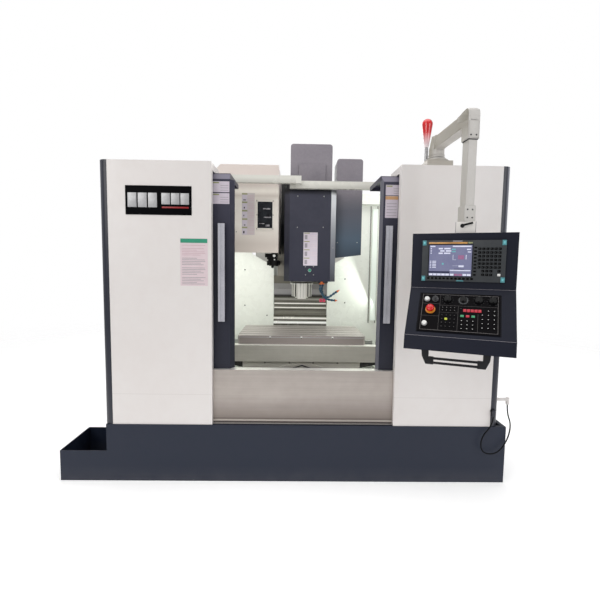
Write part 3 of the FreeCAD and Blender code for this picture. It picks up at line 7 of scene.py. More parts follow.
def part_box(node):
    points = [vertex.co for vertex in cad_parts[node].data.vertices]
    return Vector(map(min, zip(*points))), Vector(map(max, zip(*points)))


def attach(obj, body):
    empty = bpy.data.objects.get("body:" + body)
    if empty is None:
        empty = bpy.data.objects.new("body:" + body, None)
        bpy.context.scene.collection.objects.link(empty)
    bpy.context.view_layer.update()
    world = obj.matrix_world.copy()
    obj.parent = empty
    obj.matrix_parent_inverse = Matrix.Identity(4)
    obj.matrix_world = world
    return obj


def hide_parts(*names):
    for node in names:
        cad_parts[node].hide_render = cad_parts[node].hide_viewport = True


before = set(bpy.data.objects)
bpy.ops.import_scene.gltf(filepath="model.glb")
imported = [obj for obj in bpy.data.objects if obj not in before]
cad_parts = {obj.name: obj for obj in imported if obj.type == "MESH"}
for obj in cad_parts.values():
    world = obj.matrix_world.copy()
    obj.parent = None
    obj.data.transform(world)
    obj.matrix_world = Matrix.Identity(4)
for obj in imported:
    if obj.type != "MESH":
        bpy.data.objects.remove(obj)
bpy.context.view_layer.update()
scene = bpy.context.scene

# camera, where the photograph was taken from
cameraView = {"place": (-0.0702, -3.7074, 1.3594), "pitchDown": 0.0864, "yaw": 0.0167, "roll": -0.0139,
              "lens": 24.69, "sensor": 36.0, "reach": 60.0}


def makeCamera(view):
    turns = [Matrix.Rotation(angle, 3, axis)
             for angle, axis in ((-view["roll"], "Y"), (view["pitchDown"], "X"), (view["yaw"], "Z"))]
    right, forward, up = (turns[0] @ turns[1] @ turns[2])[:]
    lens = bpy.data.cameras.new("shopCamera")
    lens.lens, lens.sensor_width, lens.clip_end = view["lens"], view["sensor"], view["reach"]
    camera = bpy.data.objects.new("shopCamera", lens)
    camera.matrix_world = Matrix.Translation(view["place"]) @ Matrix((right, up, -forward)).transposed().to_4x4()
    scene.collection.objects.link(camera)
    scene.camera = camera


makeCamera(cameraView)
print("camera placed")

# small tools for node trees


def tone(colour):                                 # as an eye-dropper gives it, made linear; four numbers are linear
    if len(colour) == 4:
        return colour
    return tuple(((c / 255 + 0.055) / 1.055) ** 2.4 if c > 10 else c / 255 / 12.92 for c in colour) + (1.0,)


class treeTools:                                  # adds nodes to one node tree and links them
    def __init__(self, tree):
        self.tree = tree

    def put(self, value, socket):
        if isinstance(value, bpy.types.NodeSocket):
            self.tree.links.new(value, socket)
        else:
            socket.default_value = value

    def add(self, kind, inputs=None, **settings):
        node = self.tree.nodes.new("ShaderNode" + kind)
        for name, value in settings.items():
            setattr(node, name, value)
        for key, value in (inputs or {}).items():
            self.put(value, node.inputs[key])
        return node

    def maths(self, operation, first, second=0.0, third=0.0, clamp=False):
        return self.add("Math", {0: first, 1: second, 2: third}, operation=operation, use_clamp=clamp).outputs[0]

    def times(self, first, second, clamp=False):
        return self.maths("MULTIPLY", first, second, clamp=clamp)

    def vectors(self, operation, first, second=(0, 0, 0)):
        outputs = self.add("VectorMath", {0: first, 1: second}, operation=operation).outputs
        return outputs["Vector" if operation in ("SUBTRACT", "MULTIPLY") else "Value"]

    def blend(self, factor, below, above):
        return self.add("Mix", {0: factor, 6: below, 7: above}, data_type="RGBA").outputs[2]

    def noise(self, vector, scale, detail=2.0, rough=0.5):
        inputs = {"Vector": vector, "Scale": scale, "Detail": detail, "Roughness": rough}
        return self.add("TexNoise", inputs).outputs[0]

    def spread(self, value, low, high, first=0.0, last=1.0, **settings):
        inputs = {"Value": value, "From Min": low, "From Max": high, "To Min": first, "To Max": last}
        return self.add("MapRange", inputs, **settings).outputs[0]

    def use(self, effect, **inputs):
        return self.add("Group", inputs, node_tree=effects[effect]).outputs


# effects shared by the finishes

bevelSamples = 4


def makeEffect(name, inputs, build):              # a node group; build gives its outputs by name
    tree = bpy.data.node_groups.new(name, "ShaderNodeTree")
    for label, value in inputs.items():
        kind = "Float" if isinstance(value, float) else "Vector" if len(value) == 3 else "Color"
        tree.interface.new_socket(name=label, in_out="INPUT", socket_type="NodeSocket" + kind).default_value = value
    results = build(treeTools(tree), tree.nodes.new("NodeGroupInput").outputs)
    for label in results:
        kind = "Color" if label == "Color" else "Float"
        tree.interface.new_socket(name=label, in_out="OUTPUT", socket_type="NodeSocket" + kind)
    given = tree.nodes.new("NodeGroupOutput").inputs
    for label, value in results.items():
        tree.links.new(value, given[label])
    return tree


def mottle(g, given):                              # broad and fine drift of the tone, as on sprayed or cast metal
    broad = g.noise(given["Vector"], given["Scale"], 3.0)
    fine = g.noise(given["Vector"], g.times(given["Scale"], 11.0))
    mask = g.spread(g.maths("MULTIPLY_ADD", fine, 0.35, g.times(broad, 0.65)), 0.35, 0.68)
    return {"Color": g.blend(g.times(mask, given["Amount"]), given["Color"], given["Shade"]), "Mask": mask}


def peel(g, given):                               # the low orange peel of powder paint, or the grain of a casting
    small = g.noise(given["Vector"], given["Scale"])
    large = g.noise(given["Vector"], g.times(given["Scale"], 0.16))
    return {"Height": g.maths("MULTIPLY_ADD", large, given["Lumps"], small)}


def brushed(g, given):                            # brushed or ground lines, fine across and long along the grain
    drawn = g.vectors("MULTIPLY", given["Vector"], given["Stretch"])
    lines = g.noise(drawn, 1.0, 3.0, 0.6)
    bands = g.noise(g.vectors("MULTIPLY", drawn, (0.6, 0.12, 0.12)), 1.0)
    both = g.maths("ADD", g.times(lines, 0.5), g.times(bands, 0.5))
    return {"Height": lines, "Mask": g.spread(both, 0.36, 0.64)}


def rubbed(g, given):                             # paint or polish rubbed through at the edges, and a painted highlight along edges that catch the light
    rounded = g.add("Bevel", {"Radius": given["Radius"]}, samples=bevelSamples).outputs[0]
    flat = g.add("NewGeometry").outputs["True Normal"]
    away = g.maths("SUBTRACT", 1.0, g.vectors("DOT_PRODUCT", rounded, flat))
    patchy = g.spread(g.noise(given["Vector"], given["Patches"], 3.0), 0.42, 0.6)
    return {"Mask": g.times(g.times(g.times(away, 9.0, True), patchy), given["Amount"])}


def reachPast(g, given):
    return g.vectors("DOT_PRODUCT", g.vectors("SUBTRACT", given["Vector"], given["Point"]), given["Direction"])


def split(g, given):                              # 0 before a plane and 1 behind it, for two colours on one sheet, and for painted shade and painted light that end at a plane
    share = g.maths("DIVIDE", reachPast(g, given), given["Softness"])
    return {"Mask": g.maths("ADD", share, 0.5, clamp=True)}


def seam(g, given):                               # a thin line on a plane: joints between sheets, painted shadow lines and painted reflected bands
    share = g.maths("DIVIDE", g.maths("ABSOLUTE", reachPast(g, given)), given["Width"])
    return {"Mask": g.maths("SUBTRACT", 1.0, share, clamp=True)}


def dusty(g, given):                              # workshop dust, thick near the floor and gone above a height
    up = g.vectors("DOT_PRODUCT", given["Vector"], (0, 0, 1))
    fade = g.maths("SUBTRACT", 1.0, g.maths("DIVIDE", up, given["Height"]), clamp=True)
    patchy = g.noise(given["Vector"], given["Patches"], 4.0)
    return {"Mask": g.times(g.times(fade, patchy), given["Amount"], True)}


def thread(g, given):                             # the helical groove of a ball screw that runs along Z
    parts = g.add("SeparateXYZ", {0: given["Vector"]}).outputs
    along = g.times(g.maths("DIVIDE", parts[2], given["Pitch"]), 2 * math.pi)
    wave = g.maths("SINE", g.maths("ADD", g.maths("ARCTAN2", parts[1], parts[0]), along))
    land = g.spread(wave, -0.9, 0.1)
    return {"Height": land, "Mask": g.maths("SUBTRACT", 1.0, land)}


def facingSide(g, given):                         # 1 on faces that look in one direction of the piece
    reach = g.vectors("DOT_PRODUCT", given["Normal"], given["Direction"])
    return {"Mask": g.spread(reach, given["Least"], given["Most"])}


spot = {"Vector": (0, 0, 0)}
plane = {**spot, "Point": (0, 0, 0), "Direction": (0, 1, 0)}
effects = {
    "mottle": makeEffect("surfaceMottle", {**spot, "Color": (1, 1, 1, 1), "Shade": (0, 0, 0, 1), "Scale": 3.0,
                                           "Amount": 0.4}, mottle),
    "peel": makeEffect("paintPeel", {**spot, "Scale": 500.0, "Lumps": 0.0}, peel),
    "grain": makeEffect("brushedGrain", {**spot, "Stretch": (3, 300, 300)}, brushed),
    "rub": makeEffect("edgeWearAndSheen", {**spot, "Radius": 0.004, "Patches": 30.0, "Amount": 0.6}, rubbed),
    "split": makeEffect("acrossPlane", {**plane, "Softness": 0.0005}, split),
    "seam": makeEffect("thinStripe", {**plane, "Direction": (0, 0, 1), "Width": 0.001}, seam),
    "dust": makeEffect("floorDust", {**spot, "Height": 0.12, "Patches": 9.0, "Amount": 0.4}, dusty),
    "thread": makeEffect("screwThread", {**spot, "Pitch": 0.01}, thread),
    "facing": makeEffect("facingSide", {"Normal": (0, 0, 1), "Direction": (0, 0, 1), "Least": 0.5, "Most": 0.95},
                         facingSide)}
print("effects ready:", ", ".join(sorted(effects)))

# finishes

dustTone, grooveTone, grooveDeep, screwPitch = (150, 146, 140), (90, 90, 90), 0.002, 0.01
crisp, soft, bumpStrength = 0.0006, 0.002, 0.5      # width of a zone's edge, and of a second one
grainShade, grooveShare, brightSum = 0.55, 0.6, 2.0


def makeFinish(name, look):
    material = bpy.data.materials.new(name)
    material.use_nodes = True
    g = treeTools(material.node_tree)
    g.tree.nodes.clear()
    shader = g.add("BsdfPrincipled", {"Metallic": look.get("metal", 0.0), "IOR": 1.5})
    g.add("OutputMaterial", {"Surface": shader.outputs[0]})
    coords = g.add("TexCoord").outputs
    where = coords["Object"]
    base = tone(look["color"])

    def beyond(half, softness):                   # "+z 1.62" is all above 1.62
        if isinstance(half, str):
            unit = [float(letter == half[1]) for letter in "xyz"]
            point = [c * float(half[3:]) for c in unit]
            half = point, [-c for c in unit] if half[0] == "-" else unit
        return g.use("split", Vector=where, Point=half[0], Direction=half[1], Softness=softness)[0]

    drift = g.use("mottle", Vector=where, Color=base, Shade=tone(look["shade"]), Scale=look["scale"],
                  Amount=look["mottle"])
    colour, rough = drift["Color"], drift["Mask"]
    metal, normal, heights, shine = None, None, [], (0, 0, 0, 1)
    if "peel" in look:
        size, depth, *lumps = look["peel"]
        skin = g.use("peel", Vector=where, Scale=size, Lumps=lumps[0] if lumps else 0.0)[0]
        heights.append((skin, depth, bumpStrength))
    if "grain" in look:
        stretch, amount, depth = look["grain"]
        grain = g.use("grain", Vector=where, Stretch=stretch)
        colour = g.blend(g.times(grain["Mask"], amount), colour, tuple(grainShade * c for c in base[:3]) + (1,))
        rough = grain["Mask"]
        heights.append((grain["Height"], depth, bumpStrength))
    for zone in look.get("zones", ()):            # another colour beyond a plane, or on the faces that look one way: two-tone paint, painted shade and painted highlights
        if "facing" in zone:
            mask = g.use("facing", Normal=coords["Normal"], Direction=zone["facing"], Least=zone["least"],
                         Most=zone["most"])[0]
        else:
            mask = beyond(zone["past"], zone.get("soft", crisp))
        if "only" in zone:                        # and on one side of a second plane
            mask = g.times(mask, beyond(zone["only"], zone.get("onlySoft", soft)))
        colour = g.blend(g.times(mask, zone.get("amount", 1.0)), colour, tone(zone["color"]))
        if "metal" in zone:
            before = look.get("metal", 0.0) if metal is None else metal
            metal = g.add("Mix", {0: mask, 2: before, 3: zone["metal"]}, data_type="FLOAT").outputs[0]
    # joints between sheets, painted shadow lines and painted reflected bands
    for height, width, shade, amount in look.get("seams", ()):
        line = g.use("seam", Vector=where, Point=(0, 0, height), Width=width)[0]
        if "seamsOnly" in look:
            line = g.times(line, beyond(look["seamsOnly"], soft))
        colour = g.blend(g.times(line, amount), colour, tone(shade))
        if sum(tone(shade)[:3]) > brightSum and "seamGlow" in look:  # a bright painted reflected band glows, as a polished lip throws the light back
            shine = g.blend(line, shine, tone(shade))
    if "thread" in look:
        centre, turn = look["thread"]
        spun = g.add("VectorRotate", {"Vector": g.vectors("SUBTRACT", where, centre), "Rotation": turn},
                     rotation_type="EULER_XYZ").outputs[0]
        groove = g.use("thread", Vector=spun, Pitch=screwPitch)
        colour = g.blend(g.times(groove["Mask"], grooveShare), colour, tone(grooveTone))
        heights.append((groove["Height"], grooveDeep, 1.0))
    # edges: real wear on some finishes, a painted highlight on others
    if "rub" in look:
        wornLitTone, radius, amount = look["rub"]
        colour = g.blend(g.use("rub", Vector=where, Radius=radius, Amount=amount)[0], colour, tone(wornLitTone))
    if "dust" in look:
        height, amount, *kind = look["dust"]
        colour = g.blend(g.use("dust", Vector=where, Height=height, Amount=amount)[0], colour,
                         tone(kind[0] if kind else dustTone))
    if "soften" in look:                          # a small radius where sheets fold or castings are cut
        normal = g.add("Bevel", {"Radius": look["soften"]}, samples=bevelSamples).outputs[0]
    for height, depth, strength in heights:
        bump = g.add("Bump", {"Height": height, "Distance": depth, "Strength": strength})
        if normal is not None:
            g.put(normal, bump.inputs["Normal"])
        normal = bump.outputs[0]
    wanted = {"Base Color": colour, "Roughness": g.spread(rough, 0.0, 1.0, *look["rough"]), "Metallic": metal,
              "Normal": normal, "Transmission Weight": look.get("clear"), "Specular IOR Level": look.get("specular"),
              "Coat Weight": look.get("coat", [None])[0], "Coat Roughness": look.get("coat", [None])[-1]}
    for key, source in (("glow", colour), ("seamGlow", shine)):
        if key in look:
            wanted.update({"Emission Color": source, "Emission Strength": look[key]})
    for label, value in wanted.items():
        if value is not None:
            g.put(value, shader.inputs[label])
    return material


def mix(color, shade, rough, mottle, scale, **more):
    return {"color": color, "shade": shade, "rough": rough, "mottle": mottle, "scale": scale, **more}


def past(half, color, **more):
    return {"past": half, "color": color, **more}


def facing(direction, least, most, color, **more):
    return {"facing": direction, "least": least, "most": most, "color": color, **more}


# height, half width and colour of the painted reflected bands that the folded covers mirror
mirrored = 0.92
coverBands = [(height, half, color, mirrored) for height, half, color in (
    (1.042, 0.016, (8, 7, 6)), (1.017, 0.012, (170, 168, 162)), (0.995, 0.008, (76, 74, 66)),
    (0.973, 0.008, (250, 248, 240)), (0.956, 0.010, (84, 82, 74)), (0.931, 0.008, (250, 248, 238)),
    (0.911, 0.010, (78, 76, 68)), (0.886, 0.013, (140, 138, 128)), (0.851, 0.013, (74, 72, 64)),
    (0.825, 0.014, (244, 242, 234)), (0.805, 0.008, (62, 60, 54)), (0.782, 0.018, (255, 255, 252)),
    (0.760, 0.008, (50, 46, 42)))]
finePeel = (420, 0.0003)
# colour, the shade it drifts to, roughness, amount and scale of the drift, and what else each finish has
looks = {
    "warmWhite": mix((222, 218, 216), (214, 207, 204), (0.30, 0.40), 0.5, 1.6, peel=finePeel, soften=0.0025),
    "navy": mix((30, 37, 53), (38, 42, 56), (0.36, 0.5), 0.6, 1.8, specular=0.3, peel=finePeel, soften=0.003),
    # painted light: lighter towards the top, with painted highlights on the upward hood faces and on the right door's
    # bevel
    "doorNavy": mix((31, 33, 46), (40, 41, 54), (0.32, 0.44), 0.5, 2.5, specular=0.32, peel=finePeel, soften=0.0025,
                    zones=[past("+z 1.62", (64, 63, 79), soft=0.6, amount=0.9),
                           facing((0, -0.707, 0.707), 0.8, 0.95, (110, 106, 122)),
                           facing((-0.707, -0.707, 0), 0.8, 0.95, (104, 104, 114), only="+x 0")]),
    "charcoal": mix((42, 43, 54), (54, 54, 64), (0.28, 0.42), 0.5, 3.0, specular=0.35, peel=finePeel, soften=0.003),
    "smokeGrey": mix((128, 123, 130), (112, 107, 116), (0.5, 0.62), 0.7, 5.0, peel=(300, 0.0005, 0.5), soften=0.004),
    # painted shade: darker towards the bottom and at the top under the header beam, with a band of the beam's painted
    # shadow at 1.865
    "creamWhite": mix((232, 226, 217), (222, 214, 205), (0.32, 0.44), 0.6, 2.4, peel=finePeel, soften=0.0025,
                      zones=[past("-z 1.58", (190, 180, 172), soft=0.14, amount=0.9),
                             past("+z 1.93", (206, 193, 190), soft=0.05, amount=0.7)],
                      seams=[(1.865, 0.03, (182, 170, 160), 0.6)]),
    "guardWhite": mix((236, 238, 231), (228, 232, 224), (0.22, 0.34), 0.5, 2.0, peel=finePeel, soften=0.002),
    # painted shade on the faces that look left, deeper on the upper arm
    "armGrey": mix((200, 197, 193), (188, 184, 179), (0.42, 0.55), 0.5, 6.0, peel=(700, 0.0004, 0.3), soften=0.006,
                   zones=[facing((-1, 0, 0), 0.5, 0.95, (178, 175, 170)),
                          facing((-1, 0, 0), 0.5, 0.95, (146, 141, 131), only="+z 2.03", onlySoft=0.1)]),
    "castGrey": mix((176, 178, 174), (156, 158, 152), (0.45, 0.62), 0.7, 5.0, peel=(240, 0.0012, 0.8), soften=0.006,
                     dust=(0.5, 0.5)),
    "machineBlack": mix((30, 31, 34), (46, 46, 50), (0.35, 0.5), 0.6, 8.0, peel=(600, 0.0004), soften=0.002),
    "headPaint": mix((46, 47, 53), (34, 35, 41), (0.42, 0.58), 0.6, 6.0, peel=(260, 0.001, 0.7), soften=0.005),
    # painted highlight on the upward faces and on the light line at 0.383, with painted shade in the dark lines beside
    # it; darker towards the bottom
    "apronSteel": mix((184, 176, 170), (164, 154, 148), (0.30, 0.42), 0.6, 1.5, metal=0.7,
                       grain=((2, 260, 260), 0.18, 0.0001),
                      zones=[past("-z 0.455", (112, 102, 96), soft=0.20),
                             facing((0, 0, 1), 0.6, 0.9, (250, 248, 244))],
                       seams=[(0.371, 0.006, (60, 58, 66), 0.8), (0.383, 0.005, (226, 220, 212), 0.7),
                              (0.394, 0.004, (70, 64, 60), 0.7)]),
    # painted highlight on the upward faces
    "sheetSteel": mix((174, 171, 164), (154, 151, 142), (0.30, 0.44), 0.5, 2.0, metal=0.35,
                       grain=((3, 320, 320), 0.2, 0.0001), zones=[facing((0, 0, 1), 0.6, 0.9, (240, 239, 232))]),
    # painted reflected bands, the bright ones glowing
    "coverSteel": mix((134, 132, 122), (108, 106, 96), (0.2, 0.36), 0.5, 3.0, metal=0.3,
                       grain=((2, 300, 420), 0.35, 0.0002), seams=coverBands, seamGlow=0.4),
    # painted shade on the front faces, and a painted highlight along the edges
    "tableIron": mix((200, 193, 189), (172, 163, 160), (0.30, 0.44), 0.6, 3.0, metal=0.45,
                      grain=((3, 240, 240), 0.3, 0.00015), rub=((206, 202, 198), 0.003, 0.5),
                      zones=[facing((0, -1, 0), 0.6, 0.95, (148, 140, 137))]),
    "groundSteel": mix((196, 196, 194), (160, 160, 158), (0.18, 0.32), 0.4, 20.0, metal=1.0, peel=(900, 0.0001),
                        soften=0.001),
    "handleSteel": mix((198, 198, 206), (150, 150, 161), (0.24, 0.36), 0.4, 8.0, metal=0.35,
                        grain=((400, 400, 3), 0.25, 0.0001), soften=0.002),
    # lighter edges: partly wear, partly a painted highlight
    "darkSteel": mix((70, 70, 72), (48, 48, 50), (0.3, 0.5), 0.6, 14.0, metal=0.7, soften=0.0015,
                      rub=((150, 148, 144), 0.002, 0.5)),
    "screwZinc": mix((196, 196, 192), (120, 120, 118), (0.25, 0.4), 0.4, 120.0, metal=1.0),
    "screwBlack": mix((38, 38, 40), (70, 70, 72), (0.35, 0.5), 0.5, 160.0, metal=0.4),
    "silverTrim": mix((186, 186, 188), (150, 150, 152), (0.38, 0.5), 0.5, 60.0, metal=0.55,
                       grain=((600, 8, 600), 0.25, 0.00005)),
    "paneGleam": mix((176, 172, 176), (40, 40, 46), (0.1, 0.2), 1.0, 110.0),
    "handleBlack": mix((22, 22, 25), (34, 34, 37), (0.4, 0.55), 0.5, 30.0, specular=0.25, peel=(900, 0.0003),
                        soften=0.0015),
    "knobBlack": mix((12, 12, 14), (24, 24, 26), (0.34, 0.46), 0.4, 60.0, specular=0.25, soften=0.001),
    "stopRed": mix((206, 16, 18), (176, 10, 12), (0.18, 0.28), 0.4, 40.0, coat=(0.5, 0.1), soften=0.002),
    "stopYellow": mix((222, 140, 34), (196, 112, 20), (0.3, 0.4), 0.4, 60.0),
    "buttonWhite": mix((230, 230, 228), (206, 206, 204), (0.2, 0.3), 0.4, 80.0, soften=0.001),
    "frameGrey": mix((58, 61, 64), (48, 51, 54), (0.45, 0.55), 0.5, 24.0, specular=0.3, peel=(900, 0.0002),
                     soften=0.001),
    "consoleBlack": mix((14, 13, 15), (22, 20, 23), (0.5, 0.6), 0.5, 20.0, specular=0.05, peel=(1200, 0.0001)),
    "keyDark": mix((7, 7, 9), (14, 14, 16), (0.45, 0.55), 0.5, 90.0, specular=0.06),
    "keyGrey": mix((92, 94, 96), (70, 72, 74), (0.35, 0.48), 0.5, 90.0),
    "keyRed": mix((196, 44, 62), (160, 26, 40), (0.3, 0.4), 0.4, 90.0),
    "keyGreen": mix((70, 160, 112), (40, 120, 84), (0.3, 0.4), 0.4, 90.0),
    "keyLime": mix((206, 214, 70), (166, 178, 44), (0.3, 0.4), 0.4, 90.0),
    "teal": mix((66, 132, 142), (96, 158, 162), (0.35, 0.45), 0.5, 60.0),
    "lineGrey": mix((136, 132, 132), (104, 100, 100), (0.4, 0.5), 0.5, 50.0),
    "lineDim": mix((84, 80, 80), (60, 58, 58), (0.4, 0.5), 0.5, 50.0),
    "hoseBlue": mix((12, 42, 62), (70, 128, 160), (0.3, 0.4), 0.5, 60.0, soften=0.001),
    "tipOrange": mix((226, 116, 52), (200, 88, 34), (0.3, 0.42), 0.4, 60.0),
    "clipRed": mix((206, 60, 92), (170, 36, 62), (0.3, 0.42), 0.4, 60.0),
    "cableBlack": mix((7, 9, 12), (15, 17, 20), (0.5, 0.6), 0.5, 40.0, specular=0.12, peel=(700, 0.0003)),
    "plateBlack": mix((7, 7, 9), (15, 14, 16), (0.42, 0.52), 0.4, 14.0, specular=0.03),
    "signPale": mix((200, 192, 202), (186, 174, 188), (0.3, 0.42), 0.5, 26.0),
    "signLilac": mix((196, 188, 188), (184, 172, 174), (0.35, 0.45), 0.5, 26.0),
    "signPink": mix((216, 200, 204), (206, 186, 191), (0.3, 0.42), 0.5, 26.0),
    "signGreen": mix((46, 146, 116), (34, 124, 96), (0.3, 0.42), 0.5, 26.0),
    "signOrange": mix((196, 154, 112), (180, 134, 92), (0.3, 0.42), 0.5, 26.0),
    "signGrey": mix((150, 146, 152), (122, 118, 124), (0.35, 0.45), 0.5, 70.0),
    "signMauve": mix((196, 166, 174), (180, 148, 158), (0.35, 0.45), 0.5, 70.0),
    "signOlive": mix((150, 152, 112), (122, 126, 84), (0.35, 0.45), 0.5, 70.0),
    "signRed": mix((150, 26, 30), (120, 16, 20), (0.3, 0.4), 0.4, 60.0),
    "screenBlue": mix((112, 114, 142), (92, 95, 128), (0.2, 0.3), 0.6, 16.0, glow=0.35),
    "screenWhite": mix((206, 208, 224), (176, 180, 204), (0.12, 0.2), 0.5, 60.0, glow=0.35),
    "screenDark": mix((44, 46, 72), (30, 32, 52), (0.12, 0.2), 0.5, 60.0, glow=0.3),
    "screenTeal": mix((112, 184, 190), (84, 150, 160), (0.12, 0.2), 0.5, 60.0, glow=0.15),
    "screenRose": mix((150, 100, 134), (126, 96, 128), (0.12, 0.2), 0.5, 60.0, glow=0.25),
    "screenAmber": mix((196, 148, 84), (140, 100, 68), (0.2, 0.3), 0.9, 14.0, glow=0.18),
    "lightTube": mix((222, 230, 222), (206, 218, 208), (0.3, 0.4), 0.4, 3.0, glow=0.28),
}


def variant(name, base, **changes):               # a finish that takes most of its look from another
    looks[name] = {**looks[base], **changes}


# the navy strip at the front is two-tone paint; the glint on the rounded corner high up is a painted highlight
for sideName, across, glint, amount in (("leftSideSheet", -0.707, (118, 120, 132), 0.3),
                                        ("rightSideSheet", 0.707, (150, 152, 162), 0.75)):
    variant(sideName, "warmWhite", dust=(0.6, 0.15), zones=[past("-y -1.168", (29, 32, 45)), facing(
        (across, -0.707, 0), 0.9, 0.99, glint, amount=amount, only="+z 1.45", onlySoft=0.9)])
variant("leftCoverSheet", "warmWhite", seams=[(0.553, 0.0025, (190, 184, 180), 0.5)])
variant("rightCoverSheet", "warmWhite", zones=[past("+z 1.9575", (172, 167, 158))],
        seams=[(0.543, 0.0025, (190, 184, 180), 0.5)])
# lighter edges: partly wear, partly a painted highlight
variant("tankNavy", "navy", dust=(0.10, 0.35, (96, 94, 98)), rub=((96, 96, 104), 0.004, 0.35))
# painted highlight on the right bevel, brightest high up; painted shade towards the bottom and near black at the top
variant("headCoverPaint", "charcoal", color=(60, 61, 74), shade=(76, 76, 88), zones=[
    facing((0.707, -0.707, 0), 0.85, 0.97, (236, 238, 244), only="+z 1.56", onlySoft=0.5),
    facing((0.707, -0.707, 0), 0.85, 0.97, (186, 190, 204), amount=0.95, only="-z 1.56", onlySoft=0.5),
    past("-z 1.50", (34, 35, 48), soft=0.5, amount=0.9), past("+z 1.905", (14, 14, 16), soft=0.03, amount=0.9)])
# painted shade: darker and bluer lower down, where the enclosure below the header beam is in shade
variant("ductPaint", "smokeGrey", rough=(0.3, 0.42), peel=finePeel, zones=[
    past("-z 1.86", (92, 94, 104), soft=0.14), past("-z 1.66", (84, 99, 115), soft=0.22),
    past("-z 1.50", (64, 75, 88), soft=0.14)])
# the black line at 1.052 is a painted shadow in the gap at the apron's lower edge
variant("headIron", "headPaint", color=(30, 30, 34), shade=(20, 20, 24), specular=0.3, zones=[
    past("+y 0.05", (112, 108, 100), only="-z 1.49", onlySoft=0.12), past("+y 0.30", (160, 158, 160), metal=0.4)],
    seams=[(1.052, 0.02, (10, 9, 8), 1.0)], seamsOnly="+y 0.30")
# painted shade: front faces below 0.612 painted near black
variant("saddleIron", "castGrey", zones=[facing((0, -1, 0), 0.5, 0.8, (30, 30, 28), only="-z 0.612")])
variant("gripBlack", "machineBlack", color=(13, 12, 12), shade=(24, 22, 21), specular=0.15)
# painted shade: front faces above 1.40 painted near black, in the gap behind the head
variant("columnIron", "castGrey", zones=[facing((0, -1, 0), 0.5, 0.8, (20, 19, 21), only="+z 1.40")])
variant("pendantPaint", "navy", color=(24, 27, 41), shade=(18, 21, 33), rough=(0.4, 0.52), specular=0.2, zones=[
    past(((0.8227, -1.55626, 0), (0.4003, 0.9164, 0)), (196, 194, 190)), past("+z 1.5315", (228, 224, 220))])
for axis, centre, turn in (("X", (0, -0.24, 0.64), (0, -math.pi / 2, 0)), ("Y", (0, 0, 0.45), (math.pi / 2, 0, 0)),
                           ("Z", (0, 0.455, 0), (0, 0, 0))):
    variant("screwThread" + axis, "groundSteel", thread=(centre, turn))
variant("motorBlack", "machineBlack", rough=(0.4, 0.55))
# the steel plate carries painted reflected bands, the bright ones glowing
variant("roomSheet", "guardWhite", zones=[past("+y 0.338", (136, 134, 124), metal=0.3, only="-z 0.862")],
        seams=[band for band in coverBands if band[0] < 0.86], seamsOnly="+y 0.338", seamGlow=0.5)
# painted shade along the lower edge of each beam
variant("beamPaint", "guardWhite", color=(216, 215, 208), shade=(206, 204, 196), zones=[
    past("-z 1.962", (176, 174, 166), soft=0.04, amount=0.8, only="-x -0.06"),
    past("-z 1.934", (176, 174, 166), soft=0.04, amount=0.8, only="+x -0.06")])
variant("noseSteel", "groundSteel", color=(214, 212, 206), shade=(190, 188, 182), metal=0.35, rough=(0.32, 0.42),
        mottle=0.3, scale=6.0)
variant("noseDark", "darkSteel", color=(70, 69, 66), shade=(50, 49, 47), metal=0.4)
variant("windowDark", "plateBlack", color=(12, 12, 15), shade=(52, 56, 62), mottle=0.75, scale=22.0, rough=(0.05, 0.12),
        coat=(0.4, 0.03))
variant("doorGlass", "plateBlack", color=(0.78, 0.84, 0.84, 1), shade=(0.70, 0.78, 0.78, 1), rough=(0.02, 0.06),
        clear=1.0)
variant("lampShade", "stopRed", color=(206, 16, 22), shade=(170, 8, 14), rough=(0.12, 0.2), coat=(0.8, 0.05), zones=[
    past("-z 2.172", (226, 214, 218), soft=0.085), past("-z 2.121", (150, 150, 152), soft=0.004, metal=0.9)])
variant("cabinetSheet", "warmWhite", color=(214, 212, 208), shade=(204, 201, 196), dust=(0.9, 0.2))
variant("discGrey", "castGrey", color=(120, 122, 124), shade=(96, 98, 100), dust=(0.1, 0.0))
finishes = {name: makeFinish(name, one) for name, one in looks.items()}
print("finishes made:", len(finishes))

# every finish and the nodes of the machine that carry it
finishNodes = {
    "tankNavy": "coolant_tank", "darkSteel": "levelling_feet lock_switch", "castGrey": "bed_casting",
    "columnIron": "column_casting", "motorBlack": "axis_servomotors x_servomotor", "saddleIron": "saddle_casting",
    "leftCoverSheet": "left_front_cover", "rightCoverSheet": "right_front_cover", "apronSteel": "front_apron",
    "leftSideSheet": "left_side_panel", "rightSideSheet": "right_side_panel", "beamPaint": "header_beams",
    "roomSheet": "inner_guards", "creamWhite": "magazine_cover", "windowDark": "magazine_window",
    "headPaint": "tool_changer_box", "cabinetSheet": "electrical_cabinet cabinet_door", "lampShade": "signal_lamp",
    "lightTube": "work_light", "screwThreadX": "x_ball_screw", "screwThreadY": "y_ball_screw",
    "screwThreadZ": "z_ball_screw", "sheetSteel": "saddle_guard", "tableIron": "work_table", "headIron": "head_casting",
    "headCoverPaint": "head_cover", "smokeGrey": "motor_cover", "ductPaint": "duct_box", "gripBlack": "change_arm",
    "noseSteel": "spindle_cartridge spindle", "discGrey": "magazine_disc", "doorNavy": "left_door right_door",
    "doorGlass": "left_door_glass right_door_glass", "handleSteel": "left_door_handle right_door_handle",
    "armGrey": "swing_arm", "pendantPaint": "pendant_housing", "handleBlack": "pendant_handle",
    "stopRed": "emergency_stop main_switch", "buttonWhite": "start_button feed_button",
    "knobBlack": "clamp_lever selector_knob_1 selector_knob_2 selector_knob_3 selector_knob_4",
    "coverSteel": "column_cover_1 column_cover_2 column_cover_3", "cableBlack": "supply_cable",
    "hoseBlue": "coolant_nozzles", "frameGrey": "display_unit", "consoleBlack": "control_panel",
}


